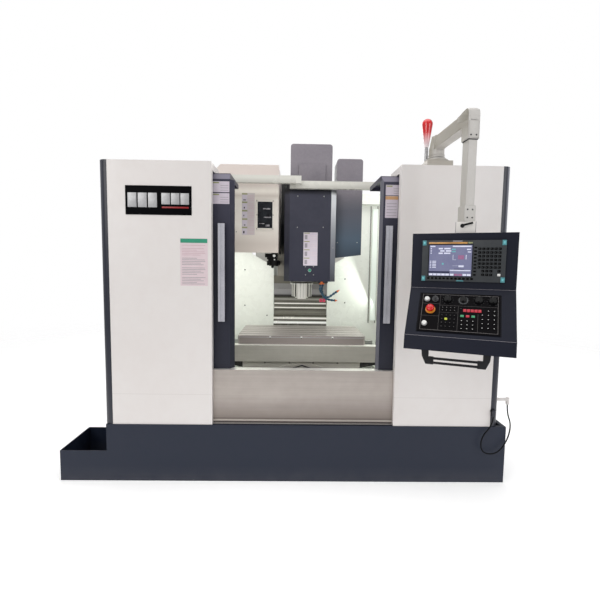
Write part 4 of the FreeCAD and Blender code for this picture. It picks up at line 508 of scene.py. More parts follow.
def finishNode(name, finish):
    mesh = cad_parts[name].data
    if mesh.users > 1:
        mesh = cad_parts[name].data = mesh.copy()
    for index in range(max(1, len(mesh.materials))):
        if index < len(mesh.materials):
            mesh.materials[index] = finish
        else:
            mesh.materials.append(finish)


bare = set(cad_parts)
for finishName, nodeNames in finishNodes.items():
    for nodeName in nodeNames.split():
        finishNode(nodeName, finishes[finishName])
        bare.discard(nodeName)
print("nodes finished:", len(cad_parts) - len(bare), "bare:", sorted(bare))

# small tools for pieces


faceDepths = {"cover": -1.225, "door": -1.165, "magazine": -0.575, "pane": -0.580, "head": -0.505, "duct": -0.375,
              "guard": 0.335, "saddle": -0.532, "gable": -0.5395, "table": -0.515}


def surfaceFrame(origin, right, up=(0, 0, 1)):    # u to the right, v up, w out of the surface
    across, along = Vector(right).normalized(), Vector(up).normalized()
    return Matrix.Translation(origin) @ Matrix((across, along, across.cross(along))).transposed().to_4x4()


def frontFace(name):
    return surfaceFrame((0, faceDepths[name], 0), (1, 0, 0))


shift = Matrix.Translation
flatUp = Matrix(((1, 0, 0, 0), (0, 0, -1, 0), (0, 1, 0, 0), (0, 0, 0, 1)))     # u right, v up, w to the operator


def turned(degrees, axis="Z"):
    return Matrix.Rotation(math.radians(degrees), 4, axis)


class pieceMaker:                                 # gathers solids, each with its finish, into one mesh
    def __init__(self, name, place, *finishNames):
        self.name, self.place, self.finishes, self.mesh = name, place, list(finishNames), bmesh.new()

    def at(self, place):
        self.place = place
        return self

    def merge(self, solid, finish, middle=(0, 0, 0)):
        if finish not in self.finishes:
            self.finishes.append(finish)
        for face in solid.faces:
            face.material_index = self.finishes.index(finish)
        bmesh.ops.transform(solid, matrix=self.place @ shift(middle), verts=solid.verts)
        scrap = bpy.data.meshes.new("scrap")
        solid.to_mesh(scrap)
        solid.free()
        self.mesh.from_mesh(scrap)
        bpy.data.meshes.remove(scrap)

    def block(self, u0, v0, u1, v1, w0, w1, finish, edge=0):
        solid, size = bmesh.new(), (u1 - u0, v1 - v0, w1 - w0)
        bmesh.ops.create_cube(solid, size=1.0, matrix=Matrix.Diagonal((*size, 1.0)))
        if edge:
            bmesh.ops.bevel(solid, geom=solid.edges[:], offset=min(edge, min(size) * 0.45), segments=2, profile=0.6,
                            affect="EDGES")
        self.merge(solid, finish, ((u0 + u1) / 2, (v0 + v1) / 2, (w0 + w1) / 2))

    def lathe(self, centre, profile, finish, sides=28):              # profile: (radius, height) from the foot up
        solid = bmesh.new()
        turns = [2 * math.pi * k / sides for k in range(sides)]
        rings = [[solid.verts.new((r * math.cos(a), r * math.sin(a), height)) for a in turns] for r, height in profile]
        for lower, upper in zip(rings, rings[1:]):
            for k in range(sides):
                solid.faces.new((lower[k], lower[(k + 1) % sides], upper[(k + 1) % sides], upper[k]))
        solid.faces.new(rings[0][::-1])
        solid.faces.new(rings[-1])
        self.merge(solid, finish, centre)

    def outline(self, points, low, high, finish, edge=0):            # an outline in u, v drawn out along w
        solid, count = bmesh.new(), len(points)
        rings = [[solid.verts.new((u, v, w)) for u, v in points] for w in (low, high)]
        caps = [solid.faces.new(rings[0][::-1]), solid.faces.new(rings[1])]
        for k in range(count):
            solid.faces.new((rings[0][k], rings[0][(k + 1) % count], rings[1][(k + 1) % count], rings[1][k]))
        bmesh.ops.recalc_face_normals(solid, faces=solid.faces[:])
        if edge:
            rims = list({side for cap in caps for side in cap.edges})
            bmesh.ops.bevel(solid, geom=rims, offset=edge, segments=2, profile=0.6, affect="EDGES")
        self.merge(solid, finish)

    def disc(self, centre, radius, depth, finish, sides=28, edge=0.0006):
        e = min(edge, depth * 0.4, radius * 0.4)
        self.lathe(centre, [(radius, 0), (radius, depth - e), (radius - e * 0.3, depth - e * 0.3), (radius - e, depth)],
                   finish, sides)

    def screws(self, places, radius, finish="screwZinc", w=0):       # button heads with a socket
        r, h = radius, radius * 0.45
        for u, v in places:
            self.lathe((u, v, w), [(r, 0), (r * 0.98, h * 0.4), (r * 0.8, h * 0.85), (r * 0.5, h), (r * 0.46, h),
                                   (r * 0.42, h * 0.3), (r * 0.2, h * 0.25)], finish, 14)

    def border(self, u0, v0, u1, v1, w0, w1, width, finish):         # four thin strips round a field
        for a, b, c, d in ((u0, v0, u1, v0 + width), (u0, v1 - width, u1, v1), (u0, v0 + width, u0 + width, v1 - width),
                           (u1 - width, v0 + width, u1, v1 - width)):
            self.block(a, b, c, d, w0, w1, finish)

    def end(self, body, smoothBelow=38.0):
        mesh = bpy.data.meshes.new(self.name)
        self.mesh.to_mesh(mesh)
        self.mesh.free()
        for finish in self.finishes:
            mesh.materials.append(finishes[finish])
        mesh.polygons.foreach_set("use_smooth", [True] * len(mesh.polygons))
        mesh.set_sharp_from_angle(angle=math.radians(smoothBelow))
        thing = bpy.data.objects.new(self.name, mesh)
        scene.collection.objects.link(thing)
        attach(thing, body)
        return thing


# the loose cable at the right corner

cableLook = {"radius": 0.004, "length": 0.7055, "points": [
    (1.184, -1.241, 0.448), (1.184, -1.241, 0.385), (1.100, -1.262, 0.305), (1.108, -1.262, 0.207),
    (1.206, -1.262, 0.199), (1.274, -1.250, 0.283), (1.308, -1.222, 0.375), (1.312, -1.155, 0.430),
    (1.312, -1.155, 0.500)],
    "nut": [(0.0052, 0.004), (0.0052, -0.0015), (0.0105, -0.004), (0.0122, -0.002), (0.0122, 0.009), (0.0134, 0.0095),
            (0.0134, 0.016), (0.0116, 0.0165)],
    "flange": [(0.0165, 0), (0.0165, 0.003), (0.0155, 0.0042), (0.0112, 0.0042)],
    "nuts": [((1.184, -1.241, 0.434), "handleBlack", 6), ((1.312, -1.155, 0.486), "buttonWhite", 8)],
    "flanges": [((1.184, -1.225, 0.464), (1, 0, 0), "handleBlack", 6),
                ((1.226, -1.155, 0.516), (0, 1, 0), "buttonWhite", 8)]}


def makeCable(look):
    line = bpy.data.curves.new("looseCable", "CURVE")
    line.dimensions, line.bevel_depth, line.bevel_resolution, line.use_fill_caps = "3D", look["radius"], 4, True
    spline = line.splines.new("NURBS")
    spline.points.add(len(look["points"]) - 1)
    for point, place in zip(spline.points, look["points"]):
        point.co = (*place, 1.0)
    spline.order_u = 3
    spline.use_endpoint_u = True
    spline.resolution_u = 10
    line.materials.append(finishes["cableBlack"])
    cable = bpy.data.objects.new("looseCable", line)
    scene.collection.objects.link(cable)
    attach(cable, "machine_frame")
    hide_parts("supply_cable")
    nuts = pieceMaker("cableGlands", Matrix())
    for mouth, finish, sides in look["nuts"]:
        nuts.at(shift(mouth) @ Matrix.Diagonal((0.8, 0.8, 1, 1))).lathe((0, 0, 0), look["nut"], finish, sides)
    for seat, right, finish, sides in look["flanges"]:
        nuts.at(surfaceFrame(seat, right)).lathe((0, 0, 0), look["flange"], finish, sides)
    nuts.end("machine_frame", 30)


makeCable(cableLook)
print("cable laid")

# plates and signs on the sheets, all plain

# how far stuck-on film and its print stand out of the sheet, from and to
film, ink, boldInk = (0, 0.0006), (0.0004, 0.0008), (0.0004, 0.0009)
plateLook = {"name": (-1.066, 1.639, -0.677, 1.809), "notice": (-0.748, 1.222, -0.584, 1.504),
             "noticeHead": 1.478, "thick": 0.0025, "rows": 25, "rowWidths": (0.95, 0.62, 0.9, 0.78, 0.97),
             "badges": [(0.014, 0.044, 0.066), (0.074, 0.044, 0.126), (0.134, 0.044, 0.186), (0.212, 0.062, 0.262),
                        (0.268, 0.062, 0.318), (0.324, 0.062, 0.374)]}


def makeFrontPlates(look):
    u0, v0, u1, v1 = look["name"]
    low, high = look["thick"] - 0.0002, look["thick"] + 0.0012
    plate = pieceMaker("maskPlate", frontFace("cover"))
    plate.block(u0, v0, u1, v1, 0, look["thick"], "plateBlack", 0.001)
    for left, foot, right in look["badges"]:
        plate.block(u0 + left, v0 + foot, u0 + right, v0 + 0.128, low, high, "silverTrim", 0.0004)
    plate.block(u0 + 0.214, v0 + 0.040, u0 + 0.372, v0 + 0.049, low, high, "signRed", 0.0004)
    plate.end("machine_frame")
    u0, v0, u1, v1 = look["notice"]
    sign = pieceMaker("noticeSheet", frontFace("cover"))
    sign.block(u0, v0, u1, v1, *film, "signPink")
    sign.block(u0 + 0.002, look["noticeHead"], u1 - 0.002, v1 - 0.001, *boldInk, "signGreen")
    step = (look["noticeHead"] - v0 - 0.016) / look["rows"]
    for row in range(look["rows"]):
        if row % 6 == 5:                          # a gap between paragraphs
            continue
        v = v0 + 0.010 + row * step
        wide = (u1 - u0 - 0.02) * look["rowWidths"][row % 5]
        sign.block(u0 + 0.010, v, u0 + 0.010 + wide, v + step * 0.3, *ink,
                   "signMauve" if row > 17 else "signGrey")
    sign.end("machine_frame")


makeFrontPlates(plateLook)

doorSignLook = {"left": [(-0.566, 1.788, -0.464, 1.852, False), (-0.566, 1.718, -0.464, 1.782, False)],
                "right": [(0.485, 1.786, 0.575, 1.848, False), (0.485, 1.650, 0.562, 1.782, True)]}


def makeDoorSigns(look):
    for side, fields in look.items():
        sign = pieceMaker(side + "DoorSigns", frontFace("door"))
        for u0, v0, u1, v1, headed in fields:
            sign.block(u0, v0, u1, v1, *film, "signPale")
            if headed:
                sign.block(u0, v1 - 0.022, u1, v1 - 0.002, *boldInk, "signOrange")
                rows, foot, step, left, right, high = 5, 0.012, 0.018, 0.008, 0.008, 0.003
            else:
                sign.block(u0 + 0.004, v1 - 0.012, u0 + 0.040, v1 - 0.004, *ink, "signOlive")
                rows, foot, step, left, right, high = 3, 0.010, 0.014, 0.048, 0.006, 0.0025
            for row in range(rows):
                v = v0 + foot + row * step
                sign.block(u0 + left, v, u1 - right, v + high, *ink, "signGrey")
        sign.end(side + "_sliding_door")


makeDoorSigns(doorSignLook)

magazineLook = {"strip": (-0.462, 1.574, -0.366, 1.884), "window": (-0.354, 1.617, -0.224, 1.831), "screw": 0.0035,
                "coverScrews": [(-0.504, 1.597), (-0.504, 1.99), (-0.214, 1.99)],
                "icons": [(0.010, 0.012, 0.020, 0.030), (0.016, 0.008, 0.026, 0.016), (0.012, 0.014, 0.018, 0.026),
                          (0.014, 0.010, 0.022, 0.022), (0.010, 0.008, 0.030, 0.014)],
                # painted highlights: toolholder ends behind the pane, caught by the light
                "gleams": [(0.050, 0.148, 0.104, 0.158), (0.056, 0.086, 0.112, 0.094), (0.022, 0.040, 0.060, 0.046),
                           (0.070, 0.022, 0.100, 0.036)]}


def makeMagazineFront(look):
    u0, v0, u1, v1 = look["strip"]
    strip = pieceMaker("magazineStrip", frontFace("magazine"))
    strip.block(u0, v0, u1, v1, *film, "signLilac")
    high = (v1 - v0) / len(look["icons"])
    for row, (a, b, c, d) in enumerate(look["icons"]):
        v = v0 + row * high
        strip.block(u0 + 0.003, v + 0.004, u0 + 0.038, v + high - 0.014, *ink, "signPale")
        strip.block(u0 + 0.001, v + high - 0.012, u0 + 0.041, v + high - 0.001, *ink, "signOlive")
        strip.block(u0 + a, v + b, u0 + c, v + d, 0.0006, 0.0010, "plateBlack")
        for bar in range(4):
            foot = v + 0.008 + bar * 0.012
            strip.block(u0 + 0.048, foot, u1 - 0.006, foot + 0.0025, *ink, "signMauve")
    strip.end("machine_frame")
    extra = pieceMaker("magazineCoverScrews", frontFace("magazine"))
    extra.screws(look["coverScrews"], look["screw"], "screwBlack")
    extra.end("machine_frame")
    u0, v0, u1, v1 = look["window"]
    rim = pieceMaker("magazineWindowRim", frontFace("pane"))
    rim.border(u0, v0, u1, v1, -0.0002, 0.0016, 0.009, "creamWhite")
    rim.screws([(u, v) for u in (u0 + 0.0045, u1 - 0.0045) for v in (v0 + 0.0045, (v0 + v1) / 2, v1 - 0.0045)],
               look["screw"], "screwBlack", 0.0016)
    for a, b, c, d in look["gleams"]:
        rim.block(u0 + a, v0 + b, u0 + c, v0 + d, -0.0006, 0.0003, "paneGleam", 0.0002)
    rim.end("machine_frame")


makeMagazineFront(magazineLook)

headLook = {"sign": (0.004, 1.351, 0.113, 1.606), "lamp": (0.055, 1.314), "lampRadius": 0.011, "screw": 0.0045,
            "coverScrews": [(-0.044, 1.879), (0.156, 1.880), (-0.045, 1.643), (0.154, 1.646), (0.022, 1.342),
                            (0.084, 1.343), (0.023, 1.278), (0.085, 1.279)],
            "ductScrews": [(0.280, 1.538), (0.438, 1.541)]}


def makeHeadFront(look):
    place = frontFace("head")
    u0, v0, u1, v1 = look["sign"]
    sign = pieceMaker("headSign", place)
    sign.block(u0, v0, u1, v1, 0, 0.0007, "signPale")
    high = (v1 - v0) / 4
    for row in range(4):
        v = v0 + row * high
        sign.block(u0 + 0.004, v + high - 0.010, u0 + 0.048, v + high - 0.003, *boldInk, "signOlive")
        sign.block(u0 + 0.010, v + 0.010, u0 + 0.030, v + high - 0.020, *boldInk, "signGrey")
        for bar in range(3):
            foot = v + 0.012 + bar * 0.013
            sign.block(u0 + 0.056, foot, u1 - 0.008, foot + 0.002, *boldInk, "signPink")
    r = look["lampRadius"]
    sign.disc((*look["lamp"], 0), r * 1.25, 0.002, "screwZinc")
    sign.disc((*look["lamp"], 0.0018), r, 0.003, "signGreen", edge=0.002)
    sign.end("head")
    screws = pieceMaker("headScrews", place)
    screws.screws(look["coverScrews"], look["screw"])
    screws.at(frontFace("duct")).screws(look["ductScrews"], look["screw"])
    screws.at(surfaceFrame((0.234, -0.484, 1.49), (1, 1, 0))).screws([(0, 0)], look["screw"])
    screws.end("head")


makeHeadFront(headLook)
print("plates and screws on")

# spindle nose, tool gripper, and what the work space carries

noseLook = {"head": 1.218, "slots": (38, 60), "ribs": (49, 70), "nuts": 16}


def makeNose(look):
    low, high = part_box("spindle_cartridge")
    radius = (high[0] - low[0]) / 2
    centre = shift(((low[0] + high[0]) / 2, (low[1] + high[1]) / 2, 0))
    nose = pieceMaker("noseRibs", centre, "noseSteel", "noseDark")
    foot, top = low[2] + 0.006, min(high[2], look["head"])
    for front in (-90, 90):                       # the flutes stand at the front and the rear, keys at the sides
        for sign in (-1, 1):
            # the dark slot blocks are painted shade in the flutes between the ribs
            for angle in look["slots"]:
                nose.at(centre @ turned(front + sign * angle))
                nose.block(radius - 0.004, -0.006, radius + 0.0014, 0.006, foot + 0.006, top, "noseDark", 0.0006)
            for angle in look["ribs"]:
                nose.at(centre @ turned(front + sign * angle))
                nose.block(radius - 0.006, -0.0045, radius + 0.0045, 0.0045, foot + 0.010, top, "noseSteel", 0.0015)
        nose.at(centre @ turned(front))
        nose.block(radius - 0.008, -0.034, radius + 0.002, 0.034, foot - 0.010, top, "noseSteel", 0.003)
        for offset in (-0.012, 0.012):
            nose.block(radius - 0.001, offset - 0.001, radius + 0.0028, offset + 0.001, foot, top, "noseDark", 0.0002)
    nose.at(centre)
    for step in range(look["nuts"]):              # nuts of the flange, just under the head
        angle, reach = math.radians(step * 360 / look["nuts"]), radius + 0.004
        nose.disc((reach * math.cos(angle), reach * math.sin(angle), top - 0.026), 0.009, 0.012, "noseSteel", 6)
    nose.lathe((0, 0, top - 0.014), [(radius - 0.004, 0), (radius + 0.013, 0), (radius + 0.014, 0.001),
                                     (radius + 0.014, 0.0135), (radius - 0.004, 0.0135)], "noseDark", 48)
    nose.end("head")


makeNose(noseLook)

gripLook = {"place": (-0.235, -0.475, 1.360), "knuckles": ((-0.036, 0.034), (0.030, 0.026)),
            "nose": [(0.005, -0.032), (0.010, -0.028), (0.012, -0.010), (0.019, -0.004), (0.022, 0.006),
                     (0.022, 0.022)]}


def makeGripper(look):
    hand = shift(look["place"])
    grip = pieceMaker("armGripper", hand, "gripBlack", "buttonWhite")
    grip.block(-0.058, -0.030, 0.036, 0.020, 0.050, 0.080, "gripBlack", 0.004)
    grip.block(-0.034, -0.028, 0.028, 0.018, 0.020, 0.054, "gripBlack", 0.004)
    for u, foot in look["knuckles"]:
        grip.block(u - 0.007, -0.024, u + 0.007, 0.006, foot, foot + 0.020, "gripBlack", 0.002)
    grip.at(hand @ shift((0, -0.030, 0)) @ flatUp)
    grip.disc((0.014, 0.0625, 0), 0.0105, 0.006, "buttonWhite", 20, 0.002)
    grip.disc((0.016, 0.033, -0.002), 0.0055, 0.005, "buttonWhite", 12, 0.001)
    grip.at(hand).lathe((0, 0, 0), look["nose"], "gripBlack", 24)
    grip.end("tool_arm")


roomLook = {"guardScrews": [(-0.327, 0.853), (0.437, 1.222), (0.4395, 0.988), (0.626, 1.970), (-0.545, 1.30),
                            (-0.545, 0.95)],
            "saddleScrews": [(-0.2865, 0.589), (-0.093, 0.590), (0.0935, 0.590), (0.284, 0.590), (0.477, 0.590),
                             (-0.477, 0.590)],
            "tableMarks": [-0.2473, -0.0013, 0.2428], "tableTop": 0.789, "screw": 0.0068,
            "gable": [(-0.145, 0.522), (0.006, 0.565), (0.131, 0.5245), (0.131, 0.530), (0.006, 0.576),
                      (-0.145, 0.529)]}


def makeRoomFittings(look):
    guard = pieceMaker("guardScrews", frontFace("guard"))
    guard.screws(look["guardScrews"], look["screw"], "screwBlack")
    low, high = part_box("work_light")
    foot, head = low[2] - 0.03, high[2] + 0.03
    for u in (low[0] - 0.014, high[0] + 0.004):      # the channel that the lamp tube lies in
        guard.block(u, foot, u + 0.004, head, 0, 0.012, "beamPaint", 0.0008)
        guard.block(u - 0.0045, foot, u - 0.0005, head, 0, 0.001, "keyDark")
    guard.end("machine_frame")
    saddle = pieceMaker("saddleGuardScrews", frontFace("saddle"))
    saddle.screws(look["saddleScrews"], look["screw"], "screwBlack")
    saddle.at(frontFace("gable")).outline(look["gable"], -0.0005, 0.0008, "screwBlack")
    saddle.end("saddle")
    marks, top = pieceMaker("tableMarks", frontFace("table")), look["tableTop"]
    for u in look["tableMarks"]:
        marks.block(u - 0.007, top - 0.004, u + 0.007, top + 0.006, -0.001, 0.0008, "buttonWhite", 0.0003)
        marks.block(u - 0.003, top - 0.012, u + 0.003, top - 0.005, -0.001, 0.0006, "screwBlack", 0.0002)
    low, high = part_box("work_table")                 # the ground front edge of the table, a bright strip that is partly a painted highlight
    marks.block(low[0] + 0.002, top - 0.0045, high[0] - 0.002, top, -0.0005, 0.0005, "silverTrim", 0.0002)
    marks.end("table")


makeGripper(gripLook)
makeRoomFittings(roomLook)
print("work space dressed")

# jointed coolant hoses under the head

hoseLook = {"y": -0.285, "radius": 0.0105, "link": 0.024, "clips": ((0.150, 0.172), (0.176, 0.200)),
            "lines": [[(0.156, 1.208), (0.150, 1.150), (0.186, 1.092), (0.226, 1.090), (0.272, 1.124), (0.312, 1.150)],
                      [(0.180, 1.208), (0.166, 1.150), (0.192, 1.078), (0.236, 1.066), (0.262, 1.063), (0.298, 1.060)]],
            # radius in hose radii, height in link lengths
            "socket": [(0.6, 0), (0.66, 0.12), (0.62, 0.3), (0.86, 0.52), (0.99, 0.74), (0.95, 0.92), (0.7, 1)]}


def makeHoses(look):
    hoses = pieceMaker("coolantHoses", Matrix(), "hoseBlue", "tipOrange", "machineBlack", "clipRed")
    middle, r = look["y"], look["radius"]
    hoses.block(0.130, middle - 0.016, 0.215, middle + 0.016, 1.208, 1.228, "machineBlack", 0.002)
    for line, y in zip(look["lines"], (middle - 0.013, middle + 0.013)):
        for first, last in zip(line, line[1:]):
            start = Vector((first[0], y, first[1]))
            run = Vector((last[0], y, last[1])) - start
            count = max(1, round(run.length / look["link"]))
            step = run.length / count
            for link in range(count):
                hoses.at(shift(start + run * (link / count)) @ run.to_track_quat("Z", "Y").to_matrix().to_4x4())
                if last is line[-1] and link == count - 1:
                    tip = [(r * 0.62, 0), (r * 0.9, 0.002), (r * 0.9, step * 0.3), (r * 0.5, step * 0.55),
                           (r * 0.36, step + 0.0015), (r * 0.24, step + 0.0015)]
                    hoses.lathe((0, 0, 0), tip, "tipOrange", 20)
                else:
                    hoses.lathe((0, 0, 0), [(r * a, step * b) for a, b in look["socket"]], "hoseBlue", 20)
        hoses.at(surfaceFrame((line[0][0], y, line[0][1]), (1, 0, 0), (0, -1, 0)))
        hoses.disc((0, 0, 0), r * 0.98, 0.012, "tipOrange", 12)
    hoses.at(Matrix())
    for low, high in look["clips"]:
        hoses.block(low, middle + 0.010, high, middle + 0.030, 1.046, 1.074, "clipRed", 0.004)
    hoses.at(surfaceFrame((0.163, middle - 0.020, 1.212), (1, 0, 0))).disc((0, 0, 0), 0.010, 0.008, "tipOrange", 16)
    thing = hoses.end("head", 50)
    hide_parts("coolant_nozzles")


makeHoses(hoseLook)
print("hoses made")

# operator's display and console

panelFrame = shift((0.8295, -1.54066, 0)) @ turned(-23.6)
displayFace = panelFrame @ shift((-0.007, -0.062, 1.388)) @ flatUp
slopeHigh, slopeDeep = 0.230, 0.181
consoleFace = (panelFrame @ shift((-0.007, -0.062, 1.245)) @ Matrix.Rotation(-math.atan2(slopeDeep, slopeHigh), 4, "X")
               @ flatUp)

# what the screen shows, in shares of its width and height from the lower left
screenFields = [("White", 0.02, 0.935, 0.14, 0.975), ("White", 0.55, 0.935, 0.98, 0.975)]
for row, (a, c) in enumerate(((0.22, 0.5), (0.26, 0.52), (0.22, 0.5))):
    b = 0.86 - row * 0.075
    screenFields += [("White", a, b, a + 0.10, b + 0.045), ("White", a + 0.13, b, c, b + 0.045),
                     ("White", 0.03, b + 0.005, 0.055, b + 0.04)]
screenFields += [("Teal", 0.53, 0.77, 0.62, 0.80), ("Teal", 0.53, 0.84, 0.62, 0.88),
                 ("White", 0.88, 0.84, 0.97, 0.875), ("White", 0.90, 0.76, 0.98, 0.79),
                 ("White", 0.56, 0.52, 0.57, 0.68), ("White", 0.56, 0.52, 0.64, 0.53),
                 ("Rose", 0.68, 0.54, 0.82, 0.67), ("White", 0.86, 0.54, 0.875, 0.68)]
for row in range(5):
    b = 0.26 + row * 0.05
    screenFields += [("White", 0.02, b, 0.055, b + 0.025), ("White", 0.08, b, 0.17, b + 0.025)]
screenFields += [("Teal", 0.31, 0.36, 0.35, 0.42), ("White", 0.56, 0.33, 0.84, 0.336),
                 ("White", 0.70, 0.29, 0.82, 0.35), ("Dark", 0.60, 0.22, 0.84, 0.235),
                 ("Dark", 0.0, 0.09, 0.5, 0.15), ("White", 0.5, 0.165, 0.98, 0.20)]
for number in range(5):
    a = 0.01 + number * 0.098
    screenFields += [("White", a, 0.012, a + 0.085, 0.075),
                     ("Rose" if number in (1, 2) else "White", a + 0.5, 0.012, a + 0.585, 0.075)]
displayLook = {"half": (0.200, 0.106), "thick": 0.012, "screen": (-0.164, -0.078, 0.044, 0.082),
               "corner": (0.1895, 0.0925)}


def makeDisplay(look):
    unit = pieceMaker("displayUnit", displayFace)
    halfU, halfV = look["half"]
    t = look["thick"]
    u0, v0, u1, v1 = look["screen"]
    unit.block(-halfU, -halfV, halfU, halfV, 0, t - 0.004, "frameGrey", 0.0015)
    for a, b, c, d in ((-halfU, -halfV, u0, halfV), (u1, -halfV, halfU, halfV), (u0, -halfV, u1, v0),
                       (u0, v1, u1, halfV)):
        unit.block(a, b, c, d, 0.001, t - 0.001, "frameGrey", 0.0008)
    unit.border(u0 - 0.004, v0 - 0.004, u1 + 0.004, v1 + 0.004, t - 0.002, t - 0.0002, 0.003, "keyDark")
    unit.block(u0, v0, u1, v1, 0.004, t - 0.003, "screenBlue")
    wide, high = u1 - u0, v1 - v0
    for finish, a, b, c, d in screenFields:
        unit.block(u0 + a * wide, v0 + b * high, u0 + c * wide, v0 + d * high, t - 0.0031, t - 0.0027,
                   "screen" + finish)
    unit.block(-0.168, 0.0875, 0.020, 0.0965, t - 0.0012, t, "screenAmber", 0.0004)
    unit.block(0.024, 0.089, 0.044, 0.0965, t - 0.0012, t - 0.0002, "signOlive", 0.0004)
    unit.block(-0.050, 0.0985, -0.004, 0.1040, t - 0.0012, t - 0.0002, "signGrey", 0.0004)
    for u in (-look["corner"][0], look["corner"][0]):
        for v in (-look["corner"][1], look["corner"][1]):
            unit.block(u - 0.0095, v - 0.0130, u + 0.0095, v + 0.0130, t - 0.0015, t + 0.0006, "teal", 0.0012)
            # the faint glow of the cap centres is painted light
            unit.block(u - 0.0045, v - 0.006, u + 0.0045, v + 0.006, t, t + 0.001, "screenTeal", 0.0005)
    unit.block(-0.026, -0.1045, 0.008, -0.0985, t - 0.0015, t + 0.0006, "teal", 0.0008)
    for number in range(12):                      # soft keys under the screen
        u = -0.170 + number * 0.0192
        unit.block(u, -0.0960, u + 0.012, -0.0860, t - 0.002, t + 0.002, "keyDark", 0.0012)
    for number in range(9):                       # and beside it
        v = 0.072 - number * 0.0172
        unit.block(0.053, v - 0.008, 0.0655, v, t - 0.002, t + 0.002, "keyDark", 0.0012)
    for row in range(8):
        for column in range(6):
            if row > 5 and column in (0, 4):
                continue
            u, v = 0.072 + column * 0.0185, 0.068 - row * 0.0186
            white = row == 7 and column == 5
            unit.block(u, v - 0.0118, u + 0.0138, v, t - 0.002, t + 0.0018, "buttonWhite" if white else "keyDark",
                       0.0014)
            if not white:
                unit.block(u + 0.003, v - 0.0070, u + 0.0065, v - 0.0055, t + 0.0012, t + 0.0021, "keyGrey")
    thing = unit.end("operator_panel")
    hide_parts("display_unit")


makeDisplay(displayLook)

consoleLook = {"plate": (-0.196, -0.266, 0.184, -0.038), "thick": 0.004, "line": 0.0011, "stretch": 1.055,
               "stop": (-0.141, -0.138), "start": (-0.161, -0.077), "feed": (-0.163, -0.223), "lock": (-0.121, -0.073),
               "knobs": [(-0.061, -0.075), (0.014, -0.075), (0.086, -0.075), (0.150, -0.075)],
               "bezel": [(0.014, 0), (0.014, 0.0045), (0.0135, 0.0053), (0.0116, 0.0053), (0.0114, 0.001)],
               "lockRing": [(0.016, 0), (0.016, 0.0028), (0.0152, 0.0034), (0.012, 0.0034)],
               "knobRing": [(0.023, 0), (0.023, 0.0015), (0.0225, 0.0019), (0.0205, 0.0019), (0.020, 0.0012)]}


def makeConsole(look):
    plate = pieceMaker("consolePlate", consoleFace)
    u0, v0, u1, v1 = look["plate"]
    t, line = look["thick"], look["line"]
    low, high, top = t - 0.0003, t + 0.0003, t + 0.0021
    plate.block(u0, v0, u1, v1, 0, t, "consoleBlack", 0.001)
    left, right, foot, head = u0 + 0.013, u1 - 0.010, v0 + 0.008, v1 - 0.006
    plate.border(left, foot, right, head, low, high, line, "lineGrey")
    for a, b, c, d in ((-0.097, foot, -0.097 + line, head), (left, -0.102, -0.097, -0.102 + line),
                       (left, -0.176, -0.097, -0.176 + line), (-0.097, -0.110, right, -0.110 + line),
                       (-0.008, foot, -0.008 + line, -0.110), (0.084, foot, 0.084 + line, -0.152),
                       (-0.097, -0.152, -0.008, -0.152 + line * 0.7)):
        plate.block(a, b, c, d, low, high, "lineDim")
    plate.disc((*look["stop"], t - 0.0005), 0.0245, 0.0045, "stopYellow", 40, 0.0015)
    plate.disc((*look["stop"], t), 0.0112, 0.0135, "machineBlack")
    for name in ("start", "feed"):
        plate.lathe((*look[name], t - 0.0005), look["bezel"], "silverTrim", 32)
    plate.lathe((*look["lock"], t - 0.0005), look["lockRing"], "keyGrey", 32)
    for number, (u, v) in enumerate(look["knobs"]):
        plate.lathe((u, v, t - 0.0005), look["knobRing"], "keyGrey" if number == 1 else "keyDark", 40)
        for tick in range(11):                    # plain scale marks round the knob
            plate.at(consoleFace @ shift((u, v, 0)) @ turned(-60 + tick * 30))
            plate.block(0.0245, -0.0005, 0.0275, 0.0005, low, high, "keyGrey")
        plate.at(consoleFace)

    def keys(rows, columns, u, v, across, down, wide, high, finish="keyDark", dot=None, skip=()):
        for row in range(rows):
            for column in range(columns):
                if (row, column) in skip:
                    continue
                a, b = u + column * across, v1 + (v - row * down - v1) * look["stretch"]
                kind = "keyLime" if (finish, dot, row, column) == ("keyDark", "lineDim", 1, 1) else finish
                plate.block(a, b - high, a + wide, b, t - 0.0005, top, kind, 0.0009)
                if dot and kind == finish:
                    plate.block(a + wide * 0.35, b - high * 0.62, a + wide * 0.65, b - high * 0.36, top - 0.0004,
                                top + 0.0002, dot)

    keys(2, 4, -0.088, -0.113, 0.019, 0.015, 0.0125, 0.0105, dot="lineGrey")
    keys(4, 4, -0.088, -0.156, 0.0195, 0.0205, 0.0125, 0.0115, dot="lineDim")
    keys(1, 5, 0.016, -0.1225, 0.0172, 0, 0.0145, 0.0165, "keyRed")
    keys(1, 1, 0.0, -0.1185, 0, 0, 0.011, 0.009, dot="lineGrey")
    for column, finish in enumerate(("keyGreen", "keyRed", "keyGreen")):
        keys(1, 1, 0.004 + column * 0.0255, -0.1555, 0, 0, 0.016, 0.0125, finish)
    keys(3, 3, 0.005, -0.182, 0.0255, 0.021, 0.0125, 0.0115, dot="buttonWhite")
    keys(5, 3, 0.098, -0.122, 0.0265, 0.0232, 0.0125, 0.0115, dot="buttonWhite", skip=((0, 0),))
    thing = plate.end("operator_panel")
    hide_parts("control_panel")


makeConsole(consoleLook)

trimLook = {"half": 0.2515, "line": 0.0012, "foldV": -0.1436, "kneeV": -math.hypot(slopeDeep, slopeHigh),
            "gaps": (-0.0495, 0.0470)}


